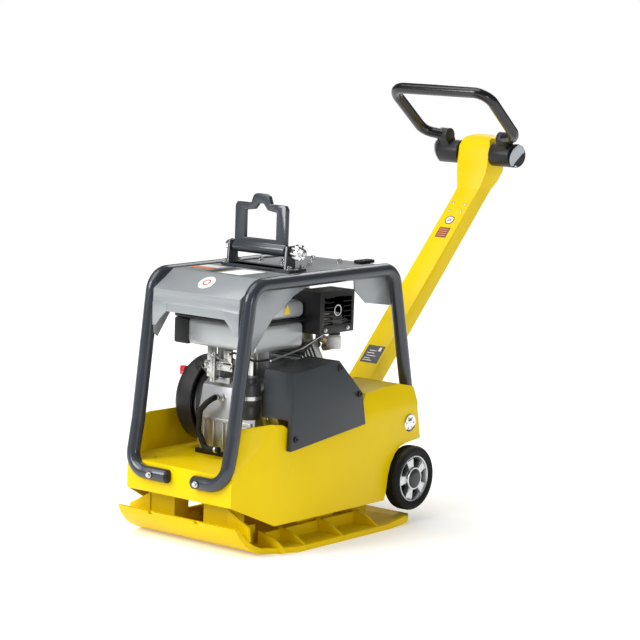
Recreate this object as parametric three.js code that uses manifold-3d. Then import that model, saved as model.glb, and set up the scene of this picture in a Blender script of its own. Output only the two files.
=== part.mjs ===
// Reversible vibratory plate compactor: a curved base plate with a twin-shaft exciter, a rubber-mounted
// upper body that carries a petrol engine, a tube frame with a canopy, a drawbar pole with a handle loop
// and two wheels.
// Millimetres, +Z up, +Y towards the operator, origin on the ground at the middle of the flat sole.
import * as THREE from 'three';
import * as BufferGeometryUtils from 'three/addons/utils/BufferGeometryUtils.js';
import Module from 'manifold-3d';

const wasm = await Module();
wasm.setup();

// ---------------------------------------------------------------- driving dimensions
const GAP = 0.3;                     // clearance between neighbouring pieces

const plate = { half: 250, flat: 220, end: 333, frontTop: 76, rearTop: 24, skin: 12, rim: 14, towerTop: 118 };
const body = { half: 218, wall: 5, floor: 195, front: -325, side: -206, rear: 391, bottom: 70 };
const crank = { y: -41, z: 328 };
const exciter = { y: 40, z: 105, spacing: 70, half: 150, r: 52 };
const rail = { x: 162, r: 17.5, topZ: 668, stubZ: 174, stubY: -330, boltX: 78 };
const pole = { y: 330, z: 260, angle: THREE.MathUtils.degToRad(46.1), half: 36.5 };
const hub = { y: 918, z: 950, r: 33.5 };
const wheel = { y: 345, z: 118, r: 86, inner: 196, outer: 242 };
const eye = { y: -33, z: 733 };
const canopyZ = 680;

const shaftA = exciter.y - exciter.spacing / 2;
const shaftB = exciter.y + exciter.spacing / 2;

// ---------------------------------------------------------------- finishes
const finish = (color, roughness, metalness) =>
  new THREE.MeshStandardMaterial({ color, roughness, metalness });
const YELLOW = [0xe4c800, 0.4, 0.0];
const FRAME_GREY = [0x5d6268, 0.35, 0.4];
const ANTHRACITE = [0x3a3d42, 0.5, 0.1];
const BLACK = [0x17181a, 0.5, 0.0];
const RUBBER = [0x141414, 0.85, 0.0];
const ALLOY = [0xb4b7ba, 0.45, 0.8];
const STEEL = [0x9b9ea2, 0.35, 0.9];
const CHROME = [0xd4d6d8, 0.15, 1.0];
const TANK_GREY = [0xa9acaf, 0.4, 0.2];
const RED = [0xc4122b, 0.4, 0.0];
const MILKY = [0xd9dcd6, 0.4, 0.0];

// ---------------------------------------------------------------- shape helpers
const toSolid = (geometry) => {
  const bare = geometry.clone();
  bare.deleteAttribute('normal');
  bare.deleteAttribute('uv');
  const merged = BufferGeometryUtils.mergeVertices(bare, 1e-4);
  return new wasm.Manifold(new wasm.Mesh({
    numProp: 3,
    vertProperties: Float32Array.from(merged.attributes.position.array),
    triVerts: Uint32Array.from(merged.index.array),
  }));
};

const toGeometry = (solid) => {
  const mesh = solid.getMesh();
  const geometry = new THREE.BufferGeometry();
  geometry.setAttribute('position', new THREE.BufferAttribute(Float32Array.from(mesh.vertProperties), 3));
  geometry.setIndex(new THREE.BufferAttribute(Uint32Array.from(mesh.triVerts), 1));
  geometry.computeVertexNormals();
  return geometry;
};

const outline = (points) => new THREE.Shape(points.map(([a, b]) => new THREE.Vector2(a, b)));

const extrude = (shape, depth, curveSegments = 5) => new THREE.ExtrudeGeometry(
  shape, { depth, bevelEnabled: false, curveSegments });

// Prism over an outline in (y, z), from x0 to x1.
const prismX = (shape, x0, x1, segments) => {
  const turn = new THREE.Matrix4().makeBasis(
    new THREE.Vector3(0, 1, 0), new THREE.Vector3(0, 0, 1), new THREE.Vector3(1, 0, 0));
  return toSolid(extrude(shape, x1 - x0, segments).applyMatrix4(turn).translate(x0, 0, 0));
};

// Prism over an outline in (x, z), from y0 to y1.
const prismY = (shape, y0, y1) => toSolid(extrude(shape, y1 - y0).rotateX(Math.PI / 2).translate(0, y1, 0));

// Prism over an outline in (x, y), from z0 to z1.
const prismZ = (shape, z0, z1) => toSolid(extrude(shape, z1 - z0).translate(0, 0, z0));

const block = (x0, x1, y0, y1, z0, z1) => toSolid(
  new THREE.BoxGeometry(x1 - x0, y1 - y0, z1 - z0).translate((x0 + x1) / 2, (y0 + y1) / 2, (z0 + z1) / 2));

const rodX = (r, x0, x1, y, z, sides = 16) => toSolid(
  new THREE.CylinderGeometry(r, r, x1 - x0, sides).rotateZ(-Math.PI / 2).translate((x0 + x1) / 2, y, z));

const rodY = (r, y0, y1, x, z, sides = 16) => toSolid(
  new THREE.CylinderGeometry(r, r, y1 - y0, sides).translate(x, (y0 + y1) / 2, z));

const rodZ = (r, z0, z1, x, y, sides = 16) => toSolid(
  new THREE.CylinderGeometry(r, r, z1 - z0, sides).rotateX(Math.PI / 2).translate(x, y, (z0 + z1) / 2));

const ringX = (outer, inner, x0, x1, y, z, sides = 16) =>
  rodX(outer, x0, x1, y, z, sides).subtract(rodX(inner, x0 - 1, x1 + 1, y, z, sides));

const join = (...solids) => solids.reduce((sum, next) => sum.add(next));
const cut = (first, ...tools) => tools.reduce((rest, tool) => rest.subtract(tool), first);
const mirrored = (solid) => solid.mirror([1, 0, 0]);

// A rounded rectangle outline centred on (a, b).
const roundedRect = (a, b, width, height, r) => {
  const shape = new THREE.Shape();
  const [l, t] = [a - width / 2, b - height / 2];
  shape.moveTo(l + r, t);
  shape.lineTo(l + width - r, t);
  shape.absarc(l + width - r, t + r, r, -Math.PI / 2, 0, false);
  shape.lineTo(l + width, t + height - r);
  shape.absarc(l + width - r, t + height - r, r, 0, Math.PI / 2, false);
  shape.lineTo(l + r, t + height);
  shape.absarc(l + r, t + height - r, r, Math.PI / 2, Math.PI, false);
  shape.lineTo(l, t + r);
  shape.absarc(l + r, t + r, r, Math.PI, 1.5 * Math.PI, false);
  return shape;
};

// A bent rail: straight runs joined by round bends, with cross-sections only where it bends.
class BentRail extends THREE.Curve {
  constructor(points, bend, arcSteps = 5) {
    super();
    this.stations = [];
    const at = points.map((p) => new THREE.Vector3(...p));
    const along = (i) => at[i + 1].clone().sub(at[i]).normalize();
    this.stations.push([at[0], along(0)]);
    for (let i = 1; i < at.length - 1; i += 1) {
      const into = along(i - 1);
      const out = along(i);
      const half = into.angleTo(out) / 2;
      const reach = bend * Math.tan(half);
      const middle = out.clone().sub(into).normalize();
      const centre = at[i].clone().addScaledVector(middle, bend / Math.cos(half));
      for (let k = 0; k <= arcSteps; k += 1) {
        const turn = 2 * half * k / arcSteps;
        const tangent = into.clone().applyAxisAngle(into.clone().cross(out).normalize(), turn);
        const start = at[i].clone().addScaledVector(into, -reach).sub(centre);
        const spot = start.applyAxisAngle(into.clone().cross(out).normalize(), turn).add(centre);
        this.stations.push([spot, tangent]);
      }
    }
    this.stations.push([at[at.length - 1], along(at.length - 2)]);
  }

  get steps() {
    return this.stations.length - 1;
  }

  getPointAt(u) {
    return this.stations[Math.round(u * this.steps)][0].clone();
  }

  getTangentAt(u) {
    return this.stations[Math.round(u * this.steps)][1].clone();
  }
}

const tube = (points, bend, r, sides = 12, arcSteps = 3) => {
  const path = new BentRail(points, bend, arcSteps);
  const section = new THREE.Shape();
  for (let k = 0; k < sides; k += 1) {
    const a = 2 * Math.PI * k / sides;
    if (k === 0) section.moveTo(r, 0);
    else section.lineTo(r * Math.cos(a), r * Math.sin(a));
  }
  section.closePath();
  const sweep = { steps: path.steps, extrudePath: path, bevelEnabled: false };
  return toSolid(new THREE.ExtrudeGeometry(section, sweep));
};

const machine = new THREE.Group();

const add = (name, solid, look) => {
  const mesh = new THREE.Mesh(toGeometry(solid), finish(...look));
  mesh.name = name;
  machine.add(mesh);
};

const bothSides = (name, solid, look) => {
  add(`${name}_right`, solid, look);
  add(`${name}_left`, mirrored(solid), look);
};

// ---------------------------------------------------------------- base plate
const lipOutline = () => {
  const shape = new THREE.Shape();
  shape.moveTo(-plate.end, plate.frontTop);
  shape.quadraticCurveTo(-plate.end + 38, 6, -plate.flat, 0);
  shape.lineTo(plate.flat, 0);
  shape.quadraticCurveTo(plate.end - 50, 3, plate.end, plate.rearTop - 12);
  shape.lineTo(plate.end, plate.rearTop);
  shape.quadraticCurveTo(plate.end - 55, 14, plate.flat, plate.skin);
  shape.lineTo(-plate.flat, plate.skin);
  shape.quadraticCurveTo(-plate.end + 50, 22, -plate.end + 12, plate.frontTop);
  return shape;
};

const planOutline = (inset) => {
  const w = plate.half - inset;
  return outline([
    [w, -151], [212 - inset, -221 + inset / 3], [197 - inset, -plate.end - 5], [-197 + inset, -plate.end - 5],
    [-212 + inset, -221 + inset / 3], [-w, -151], [-w, 306], [-228 + inset, plate.end + 5],
    [228 - inset, plate.end + 5], [w, 306]]);
};

const makeBasePlate = () => {
  const skin = prismX(lipOutline(), -plate.half, plate.half).intersect(prismZ(planOutline(0), -1, 90));
  const rimBand = prismX(outline([[-238, 4], [-238, 17], [-205, plate.rim], [plate.flat, plate.rim],
    [300, 26], [300, 16], [plate.flat, 4]]), -plate.half, plate.half);
  const rim = rimBand.intersect(prismZ(planOutline(0), -1, 60)).subtract(prismZ(planOutline(14), -2, 61));
  const deck = join(block(-165, 165, -62, 142, 5, 40), block(-165, -152, -190, 215, 5, 40),
    block(152, 165, -190, 215, 5, 40));
  let all = join(skin, rim, deck);
  // Ribs slope from the raised deck down to the rim, four on each side.
  for (const y of [-200, -121, 30, 180]) {
    const rib = prismY(outline([[160, 5], [246, 5], [246, plate.rim], [205, 38], [160, 48]]), y, y + 7);
    all = join(all, rib, mirrored(rib));
  }
  for (const y of [-282, 215]) {
    const foot = block(49, 138, y, y + 53, y < 0 ? 30 : 5, plate.towerTop);
    const web = block(49, 138, y < 0 ? -230 : 180, y < 0 ? -185 : 220, 5, 60);
    all = join(all, foot, mirrored(foot), web, mirrored(web));
  }
  const wing = prismY(outline([[130, 112], [200, 74], [204, 40], [130, 30]]), -286, -279);
  all = join(all, wing, mirrored(wing));
  for (const x of [-95, 60]) {
    all = all.subtract(block(x, x + 13, -plate.end - 10, -322, plate.frontTop - 8, plate.frontTop + 5));
  }
  return all;
};
add('base_plate', makeBasePlate(), YELLOW);

// ---------------------------------------------------------------- exciter
const oval = (r) => {
  const shape = new THREE.Shape();
  shape.absarc(shaftB, exciter.z, r, -Math.PI / 2, Math.PI / 2, false);
  shape.absarc(shaftA, exciter.z, r, Math.PI / 2, 1.5 * Math.PI, false);
  shape.closePath();
  return shape;
};

const coverThickness = 10;
const feet = prismX(outline([
  [shaftA - 40, 40 + GAP], [shaftB + 40, 40 + GAP], [shaftB + 26, 70], [shaftA - 26, 70]]),
  -exciter.half, exciter.half);
add('exciter_housing', cut(join(prismX(oval(exciter.r), -exciter.half, exciter.half), feet),
  prismX(oval(exciter.r - 7), -exciter.half - 1, exciter.half + 1)), YELLOW);

const endCover = (holes) => {
  let cover = prismX(oval(exciter.r), exciter.half + GAP, exciter.half + GAP + coverThickness);
  for (const y of holes) cover = cover.subtract(rodX(15, 140, 170, y, exciter.z));
  return cover;
};
add('exciter_cover_right', endCover([shaftA]), YELLOW);
add('exciter_cover_left', mirrored(endCover([])), YELLOW);

// Each eccentric shaft: a round shaft with a half-round weight between its bearings.
const eccentric = (y, end) => {
  const lowerHalf = block(-108, 92, y - 40, y + 40, exciter.z - 40, exciter.z + 4);
  const weight = rodX(33, -108, 92, y, exciter.z, 24).intersect(lowerHalf);
  return join(rodX(12.5, -146, end, y, exciter.z), weight);
};
add('eccentric_shaft_front', eccentric(shaftA, 206), STEEL);
add('eccentric_shaft_rear', eccentric(shaftB, 144), STEEL);

const bearingWidth = 18;
for (const [y, place] of [[shaftA, 'front'], [shaftB, 'rear']]) {
  add(`bearing_${place}_right`, ringX(31, 12.5 + GAP, 126, 126 + bearingWidth, y, exciter.z), STEEL);
  add(`bearing_${place}_left`, ringX(31, 12.5 + GAP, -142, -142 + bearingWidth, y, exciter.z), STEEL);
}

// Timing gears: equal, so the shafts turn at the same speed in opposite directions.
const gearTeeth = 20;
const gear = (y, phase) => {
  const pitch = exciter.spacing / 2;
  const shape = new THREE.Shape();
  const step = 2 * Math.PI / gearTeeth;
  const corners = [[-0.30, pitch - 3.6], [-0.17, pitch + 2.6], [0.17, pitch + 2.6], [0.30, pitch - 3.6]];
  for (let k = 0; k < gearTeeth; k += 1) {
    corners.forEach(([share, r], i) => {
      const a = phase + (k + share) * step;
      const spot = [y + r * Math.cos(a), exciter.z + r * Math.sin(a)];
      if (k === 0 && i === 0) shape.moveTo(...spot);
      else shape.lineTo(...spot);
    });
  }
  shape.closePath();
  return prismX(shape, 100, 118).subtract(rodX(12.5 + GAP, 99, 119, y, exciter.z));
};
add('timing_gear_front', gear(shaftA, 0), STEEL);
add('timing_gear_rear', gear(shaftB, Math.PI / gearTeeth), STEEL);

// ---------------------------------------------------------------- belt drive
const beltX = [186, 204];
const drivenR = 36;
const driverR = 54;

const pulley = (r, y, z, bore) => {
  const flange = 3;
  const solid = join(rodX(r, beltX[0] - flange, beltX[1] + flange, y, z, 24));
  const groove = ringX(r + 1, r - 9, beltX[0], beltX[1], y, z, 24);
  return cut(solid, groove, rodX(bore + GAP, 170, 220, y, z));
};
add('exciter_pulley', pulley(drivenR, shaftA, exciter.z, 12.5), STEEL);

// Belt outline: two arcs on the pulleys' grooves joined by their common tangents.
const beltOutline = (grow) => {
  const [r1, r2] = [driverR - 8.7 + grow, drivenR - 8.7 + grow];
  const [dy, dz] = [shaftA - crank.y, exciter.z - crank.z];
  const base = Math.atan2(dz, dy);
  const lean = Math.acos((r1 - r2) / Math.hypot(dy, dz));
  const shape = new THREE.Shape();
  shape.absarc(crank.y, crank.z, r1, base + lean, base - lean + 2 * Math.PI, false);
  shape.absarc(shaftA, exciter.z, r2, base - lean, base + lean, false);
  shape.closePath();
  return shape;
};
const beltArcs = 16;
add('v_belt', cut(prismX(beltOutline(8.5), beltX[0] + GAP, beltX[1] - GAP, beltArcs),
  prismX(beltOutline(0), beltX[0] - 2, beltX[1] + 2, beltArcs)), RUBBER);

// ---------------------------------------------------------------- rubber buffers between plate and body
const bufferSpots = [[93, -255, 'front'], [93, 242, 'rear']];
for (const [x, y, place] of bufferSpots) {
  bothSides(`buffer_${place}`, rodZ(28, plate.towerTop + GAP, 158 - GAP, x, y), RUBBER);
}

// ---------------------------------------------------------------- frame hoops
const hoopPath = (stubEnd) => [
  [stubEnd, rail.stubY, rail.stubZ], [158, rail.stubY, rail.stubZ], [159.5, -305, 300],
  [rail.x, -256, rail.topZ],
  [rail.x + 2, 316, rail.topZ + 5], [rail.x + 2, 416, 246]];
const hoopBend = 52;
const hoop = (stubEnd, r) => tube(hoopPath(stubEnd), hoopBend, r);
const clearance = rail.r + GAP + 0.2;
const hoopClearance = [hoop(58, clearance), mirrored(hoop(31, clearance))];
const boltBore = rodY(5.5, -365, -305, rail.boltX, rail.stubZ, 12);
add('frame_hoop_right', hoop(58, rail.r).subtract(boltBore), FRAME_GREY);
add('frame_hoop_left', mirrored(hoop(31, rail.r).subtract(boltBore)), FRAME_GREY);

// ---------------------------------------------------------------- upper body
const sideOutline = (top) => {
  const shape = new THREE.Shape();
  shape.moveTo(body.front, 125);
  shape.lineTo(body.side, body.bottom);
  shape.lineTo(241, body.bottom);
  shape.lineTo(248, 94);
  shape.quadraticCurveTo(256, 206, 328, 213);
  shape.lineTo(body.rear, 219);
  shape.lineTo(375, 300);
  shape.lineTo(371, 359);
  shape.lineTo(310, 372);
  shape.lineTo(165, 362);
  top.forEach(([y, z]) => shape.lineTo(y, z));
  shape.closePath();
  return shape;
};
const lean = { z: 182, back: -294 };
const rightTop = [[118, 306], [104, 300], [-128, 272], [-138, 262], [-147, 285], [-163, 308], [-186, 322],
  [-219, 326], [lean.back, 314], [body.front, lean.z]];
const leftTop = [[150, 300], [120, 268], [-86, 264], [-90, 299], [-206, 300], [lean.back - 4, 296],
  [body.front, lean.z]];

const bodyPlan = (inset) => outline([
  [175 - inset * 0.8, body.front + inset], [body.half - inset, body.side + inset * 0.4],
  [body.half - inset, 420], [-body.half + inset, 420],
  [-body.half + inset, body.side + inset * 0.4], [-175 + inset * 0.8, body.front + inset]]);

// Cross-section that leans the rear side walls inwards above the crease.
const crossSection = (inset) => outline([
  [-body.half + inset, 0], [body.half - inset, 0], [body.half - inset, 318], [190 - inset, 400],
  [-190 + inset, 400], [-body.half + inset, 318]]);

// Keeps what lies inside the leaning corner facets behind the hoops.
// The inner shape is cut a sheet thickness further in.
const cornerTrim = (solid, inset) => {
  const corner = new THREE.Vector3(176, body.front, lean.z - 2);
  const facet = new THREE.Vector3(-11340, 7560, -2862).normalize();
  const offset = facet.dot(corner) + inset;
  return solid.trimByPlane([facet.x, facet.y, facet.z], offset)
    .trimByPlane([-facet.x, facet.y, facet.z], offset);
};

const notchHalf = 58;
const makeBody = () => {
  const w = body.wall;
  const halves = join(prismX(sideOutline(rightTop), 0, 220), prismX(sideOutline(leftTop), -220, 0.01));
  const envelope = (inset) => cornerTrim(
    prismZ(bodyPlan(inset), 0, 420).intersect(prismY(crossSection(inset), -400, 420)), inset);
  const outer = halves.intersect(envelope(0));
  const inner = envelope(w);
  const bay = block(-240, 240, -321, 150, body.floor + w, 420).intersect(inner);
  const under = block(-240, 240, -321, 368, 0, body.floor).intersect(inner);
  const rearRoom = block(-240, 240, 155, 368, body.floor - 1, 345).intersect(inner);
  const frontMouth = block(-171, 171, -340, -300, body.floor + w, 420);
  const notchWalls = block(-notchHalf - w, notchHalf + w, 280, 372, 222, 352);
  let all = cut(outer, bay, under, rearRoom, frontMouth).add(notchWalls.intersect(outer));
  all = all.subtract(block(-notchHalf, notchHalf, 285, 420, 217, 420));
  // Seats that rest on the rubber buffers.
  for (const [x, y] of bufferSpots) {
    const top = y < 0 ? body.floor + 1 : 350;
    const seat = rodZ(29, 158, top, x, y);
    all = join(all, seat, mirrored(seat));
  }
  // Hanging cheeks that carry the wheel axle.
  const cheek = prismX(outline([[wheel.y - 34, 349], [wheel.y - 34, 150], [wheel.y - 20, wheel.z - 20],
    [wheel.y + 20, wheel.z - 20], [wheel.y + 34, 150], [wheel.y + 34, 349]]), 150, 158);
  // Saddles on the rear wall that the ends of the hoops are bolted to.
  const saddle = block(148, 180, 366, 402, 244, 292);
  all = join(all, cheek, mirrored(cheek), saddle, mirrored(saddle));
  return cut(all,
    rodX(10 + GAP, -230, 230, wheel.y, wheel.z),
    rodX(11 + GAP, -80, 80, pole.y, pole.z),
    block(176, 212, -112, 62, body.floor - 5, body.floor + 10),
    rodY(5.5, -335, -310, rail.boltX, rail.stubZ, 12), rodY(5.5, -335, -310, -rail.boltX, rail.stubZ, 12),
    rodZ(6, 190, 205, -141, -259, 16),
    ...hoopClearance);
};
add('upper_body', makeBody(), YELLOW);

// ---------------------------------------------------------------- wheels
add('wheel_axle', rodX(10, -wheel.outer + 4, wheel.outer - 4, wheel.y, wheel.z), STEEL);

const wheelProfile = (points) => new THREE.LatheGeometry(points.map(([r, x]) => new THREE.Vector2(r, x)), 24);
const toWheel = (geometry) => toSolid(geometry.rotateZ(-Math.PI / 2).translate(0, wheel.y, wheel.z));
const rimRadius = 62;
const tyre = toWheel(wheelProfile([
  [rimRadius, wheel.inner + 5], [72, wheel.inner], [80, wheel.inner], [wheel.r, wheel.inner + 8],
  [wheel.r, wheel.outer - 8], [80, wheel.outer], [72, wheel.outer], [rimRadius, wheel.outer - 5],
  [rimRadius, wheel.inner + 5]]));
const windows = 5;
const disc = [wheel.outer - 28, wheel.outer - 16];
const makeRim = () => {
  let rim = toWheel(wheelProfile([
    [10.5, wheel.inner + 2], [24, wheel.inner + 2], [24, disc[0]], [54, disc[0]], [54, wheel.inner + 6],
    [rimRadius - GAP, wheel.inner + 6], [rimRadius - GAP, wheel.outer - 4],
    [57, wheel.outer - 4], [54, disc[1] - 2],
    [24, disc[1]], [22, wheel.outer - 2], [10.5, wheel.outer - 2], [10.5, wheel.inner + 2]]));
  for (let k = 0; k < windows; k += 1) {
    const a0 = Math.PI / 2 + 2 * Math.PI * k / windows + 0.3;
    const a1 = Math.PI / 2 + 2 * Math.PI * (k + 1) / windows - 0.3;
    const window = new THREE.Shape();
    window.absarc(wheel.y, wheel.z, 51, a0, a1, false);
    window.absarc(wheel.y, wheel.z, 30, a1, a0, true);
    window.closePath();
    rim = rim.subtract(prismX(window, disc[0] - 6, disc[1] + 6));
  }
  return rim;
};
bothSides('tyre', tyre, RUBBER);
const hubCap = rodX(21, wheel.outer - 3, wheel.outer + 2, wheel.y, wheel.z);
const axleBore = rodX(10 + GAP, wheel.inner - 5, wheel.outer - 3, wheel.y, wheel.z);
bothSides('wheel_rim', makeRim().subtract(axleBore).add(hubCap), ALLOY);

// ---------------------------------------------------------------- engine
const bedTop = body.floor + body.wall + GAP + 12;
const oilFill = { x: 52, z: 262 };
add('engine_bed', cut(block(-112, 112, -140, 70, body.floor + body.wall + GAP, bedTop),
  block(-60, 60, -90, 20, 190, 230)), STEEL);

const makeCrankcase = () => {
  const shell = prismX(outline([[-138, bedTop + GAP], [62, bedTop + GAP], [70, 300], [110, 392], [40, 430],
    [-60, 428], [-128, 380], [-146, 300]]), -100, 92);
  const boss = join(rodX(62, -118, -100, crank.y, crank.z, 28), rodX(56, 92, 124, crank.y, crank.z, 28));
  const hollow = prismX(outline([[-120, 232], [46, 232], [58, 300], [68, 388], [-100, 388]]), -88, 80);
  const fillHole = rodY(11, -160, -100, oilFill.x, oilFill.z);
  const tankLegs = join(block(-70, -60, -110, -60, 380, 488 - GAP), block(50, 60, -110, -60, 380, 488 - GAP));
  return cut(join(shell, boss, tankLegs), hollow, rodX(14, -130, 130, crank.y, crank.z), fillHole);
};
add('engine_crankcase', makeCrankcase(), ALLOY);

const makeCylinder = () => {
  const lean = THREE.MathUtils.degToRad(32);
  let stack = toSolid(new THREE.BoxGeometry(104, 96, 84).translate(0, 48, 0));
  for (let k = 0; k < 7; k += 1) {
    stack = stack.add(toSolid(new THREE.BoxGeometry(142, 4.5, 122).translate(0, 6 + k * 12, 0)));
  }
  stack = stack.add(toSolid(new THREE.BoxGeometry(112, 20, 96).translate(0, 100, 0)));
  return stack.rotate([THREE.MathUtils.radToDeg(lean), 0, 0]).translate([-6, 76, 386])
    .intersect(block(-90, 90, 60, 260, 320, 508));
};
const cylinder = makeCylinder().subtract(makeCrankcase()).subtract(
  prismX(outline([[50, 200], [71.5, 300], [111.5, 392], [40, 432], [0, 432], [0, 200]]), -200, 200));
add('engine_cylinder', cylinder, ALLOY);

// The crankshaft carries its flywheel, and a web at each end of the crank throw.
add('crankshaft', join(rodX(12.5, -150, 212, crank.y, crank.z), rodX(92, -147, -122, crank.y, crank.z, 24),
  rodX(40, -80, -66, crank.y, crank.z), rodX(40, 54, 68, crank.y, crank.z)), STEEL);
add('clutch_pulley', join(pulley(driverR, crank.y, crank.z, 12.5),
  ringX(48, 12.5 + GAP, 160, beltX[0] - 3 + 0.1, crank.y, crank.z, 24)), STEEL);

// Recoil starter: a round dished cover over the flywheel.
const grip = { y: 30, z: 405 };
const makeRecoil = () => {
  const profile = [[0, -192], [60, -192], [96, -184], [115, -164], [115, -119.5], [109, -119.5], [109, -160],
    [92, -178], [0, -186], [0, -192]];
  let cover = toSolid(new THREE.LatheGeometry(profile.map(([r, x]) => new THREE.Vector2(r, x)), 24)
    .rotateZ(-Math.PI / 2).translate(0, crank.y, crank.z));
  const slots = 8;
  for (let k = 0; k < slots; k += 1) {
    const a = 2 * Math.PI * (k + 0.5) / slots;
    cover = cover.subtract(rodX(7, -200, -170, crank.y + 78 * Math.cos(a), crank.z + 78 * Math.sin(a), 8));
  }
  const underside = block(-126, -100, crank.y - 120, crank.y + 120, 200, 215);
  return cut(cover, underside, rodX(6, -200, -140, grip.y, grip.z, 12));
};
add('recoil_cover', makeRecoil(), BLACK);
add('recoil_grip', join(rodX(5, -196, -170, grip.y, grip.z, 12),
  prismX(roundedRect(grip.y, grip.z, 60, 16, 7), -212, -196 + 0.1)), BLACK);
add('engine_switch', join(rodX(13, -206, -189.5, -92, 398),
  block(-212, -205.5, -96, -88, 386, 410)), RED);

// Fuel tank: lower tray and upper shell meeting at a rolled seam, with a filler neck.
const filler = { x: -9, y: -120, neck: 24, top: 624 };
const tankLayers = [[-26, 488, 500], [-8, 499, 556], [0, 556, 566], [-8, 566, 604], [-40, 604, 614]];
const tankLayer = ([grow, z0, z1]) => prismZ(roundedRect(-7, -101, 276 + grow, 186 + grow, 26), z0, z1);
add('fuel_tank', join(...tankLayers.map(tankLayer),
  rodZ(filler.neck, 610, filler.top, filler.x, filler.y)), TANK_GREY);
add('fuel_cap', cut(rodZ(33, 618, 640, filler.x, filler.y, 12),
  rodZ(filler.neck + 1, 610, filler.top + GAP, filler.x, filler.y)), BLACK);

// ---------------------------------------------------------------- intake and exhaust
add('air_cleaner', prismZ(roundedRect(-36, 74, 150, 128, 18), 512, 622), BLACK);
add('carburettor', join(block(-62, -12, 30, 66, 452, 511.5), rodY(16, 12, 31, -37, 478)), ALLOY);
const leverPlate = (x, y) => join(rodX(9, x, x + 4, y, 484), block(x, x + 4, y - 4, y + 4, 482, 510));
add('throttle_lever', leverPlate(-72, 56), STEEL);
add('choke_lever', leverPlate(-8, 44), STEEL);

const guard = { inner: 100, outer: 180, y0: -7, y1: 132, z0: 527, z1: 634, skin: 2.5 };
const outlet = { y: 65, z: 585 };
const makeGuard = () => {
  const t = guard.skin;
  const hollow = block(guard.inner + t, guard.outer - t, guard.y0 + t, guard.y1 - t,
    guard.z0 - t, guard.z1 - t);
  let shell = block(guard.inner, guard.outer, guard.y0, guard.y1, guard.z0, guard.z1).subtract(hollow);
  for (let row = 0; row < 6; row += 1) {
    const z = guard.z0 + 22 + row * 13;
    for (const y of [10, 84]) {
      shell = shell.subtract(block(guard.outer - 6, guard.outer + 6, y, y + 36, z, z + 6));
    }
  }
  const outletHole = rodX(12, guard.outer - 6, guard.outer + 6, outlet.y, outlet.z);
  return cut(shell, outletHole, rodY(14, 125, 140, 140, 560));
};
add('muffler_guard', makeGuard(), BLACK);
const exhaustPipe = tube([[40, 188, 462], [84, 186, 474], [84, 112, 500], [120, 70, 508], [120, 66, 545]],
  14, 11, 10);
const silencer = join(prismX(roundedRect(62.5, 582, 122, 92, 26), 106, 172),
  rodX(9, 171, guard.outer - 1, outlet.y, outlet.z), exhaustPipe);
add('muffler', cut(silencer, rodX(6, 165, 200, outlet.y, outlet.z)), STEEL);

// ---------------------------------------------------------------- small engine fittings
add('oil_dipstick', join(rodY(10.5, -152, -112, oilFill.x, oilFill.z),
  rodY(17, -168, -151.5, oilFill.x, oilFill.z, 8)), BLACK);
const breather = { x: 98, y: -182 };
const drum = join(
  rodZ(33, 322, 414, breather.x, breather.y, 28),
  rodZ(24, 413, 428, breather.x, breather.y, 28),
  block(74, 90, -170, -142, 350, 400));
add('breather_canister', drum.subtract(makeCrankcase()), BLACK);
add('drain_hose', tube([[-34, -146.5, 356], [-34, -176, 352], [-64, -178, 322], [-70, -176, 266],
  [-46, -174, 222], [-2, -172, 226]], 22, 7.5, 10, 4), BLACK);
add('control_rod', tube([[148, -158, 472], [150, -40, 492], [150, 60, 526.5]], 20, 2.5, 8, 3), STEEL);
add('fluid_reservoir', rodZ(19, 478, 520, 140, 104), MILKY);

// ---------------------------------------------------------------- belt cover
const coverOutline = (inset) => outline([
  [-173 + inset, 255 + inset * 1.2], [128 - inset * 1.1, 290 + inset], [111 - inset * 1.2, 373],
  [10 - inset * 0.6, 467 - inset], [-164 + inset, 451 - inset]]);
const makeBeltCover = () => {
  const face = 235;
  const skirt = prismX(coverOutline(0), body.half + 2, face);
  const above = (z) => block(100, 240, -200, 200, z, 480);
  const hood = prismX(coverOutline(0), 134, face).intersect(above(331));
  const cavity = prismX(coverOutline(4), 138, face - 4).intersect(above(325));
  const skirtCavity = prismX(coverOutline(4), body.half, face - 4);
  const shell = cut(join(skirt, hood), cavity, skirtCavity);
  return cut(shell, rodX(58, 130, 142, crank.y, crank.z), block(130, 142, -100, 20, 320, 340));
};
add('belt_cover', makeBeltCover(), ANTHRACITE);

// ---------------------------------------------------------------- canopy
const makeCanopy = () => {
  const t = 3;
  const half = 143.5;
  const gusset = (points) => prismX(outline(points), half - t, half);
  const outside = [[-280, 580], [-277, 634], [-205, canopyZ], [300, canopyZ + 2], [330, 668], [336, 640]];
  const inside = [[336 - t, 640], [330 - t, 668 - 2], [299, canopyZ + 2 - t], [-204, canopyZ - t],
    [-277 + t, 633], [-280 + t, 580]];
  const sheet = prismX(outline([...outside, ...inside]), -half, half);
  const leg = prismY(outline([[95, 582], [118, 560], [132, 541], [half, 541], [half, 600], [95, 600]]),
    -280, -280 + t);
  const rightGusset = gusset([[-278, 632], [-204, 679], [-14, 679], [-25, 645], [-70, 628], [-152, 576],
    [-206, 514], [-226, 494], [-268, 494]]);
  const leftGusset = mirrored(gusset([[-278, 632], [-204, 679], [-150, 679], [-216, 570], [-262, 510],
    [-275, 520]]));
  const rearGusset = gusset([[172, 681], [178, 625], [228, 587], [346, 571], [337, 640], [318, 676],
    [300, 681]]);
  const hole = block(-58, 60, -183, -62, 600, 700);
  const all = join(sheet, leg, mirrored(leg), rightGusset, leftGusset, rearGusset, mirrored(rearGusset));
  return cut(all, hole, ...hoopClearance);
};
add('canopy', makeCanopy(), FRAME_GREY);

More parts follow.
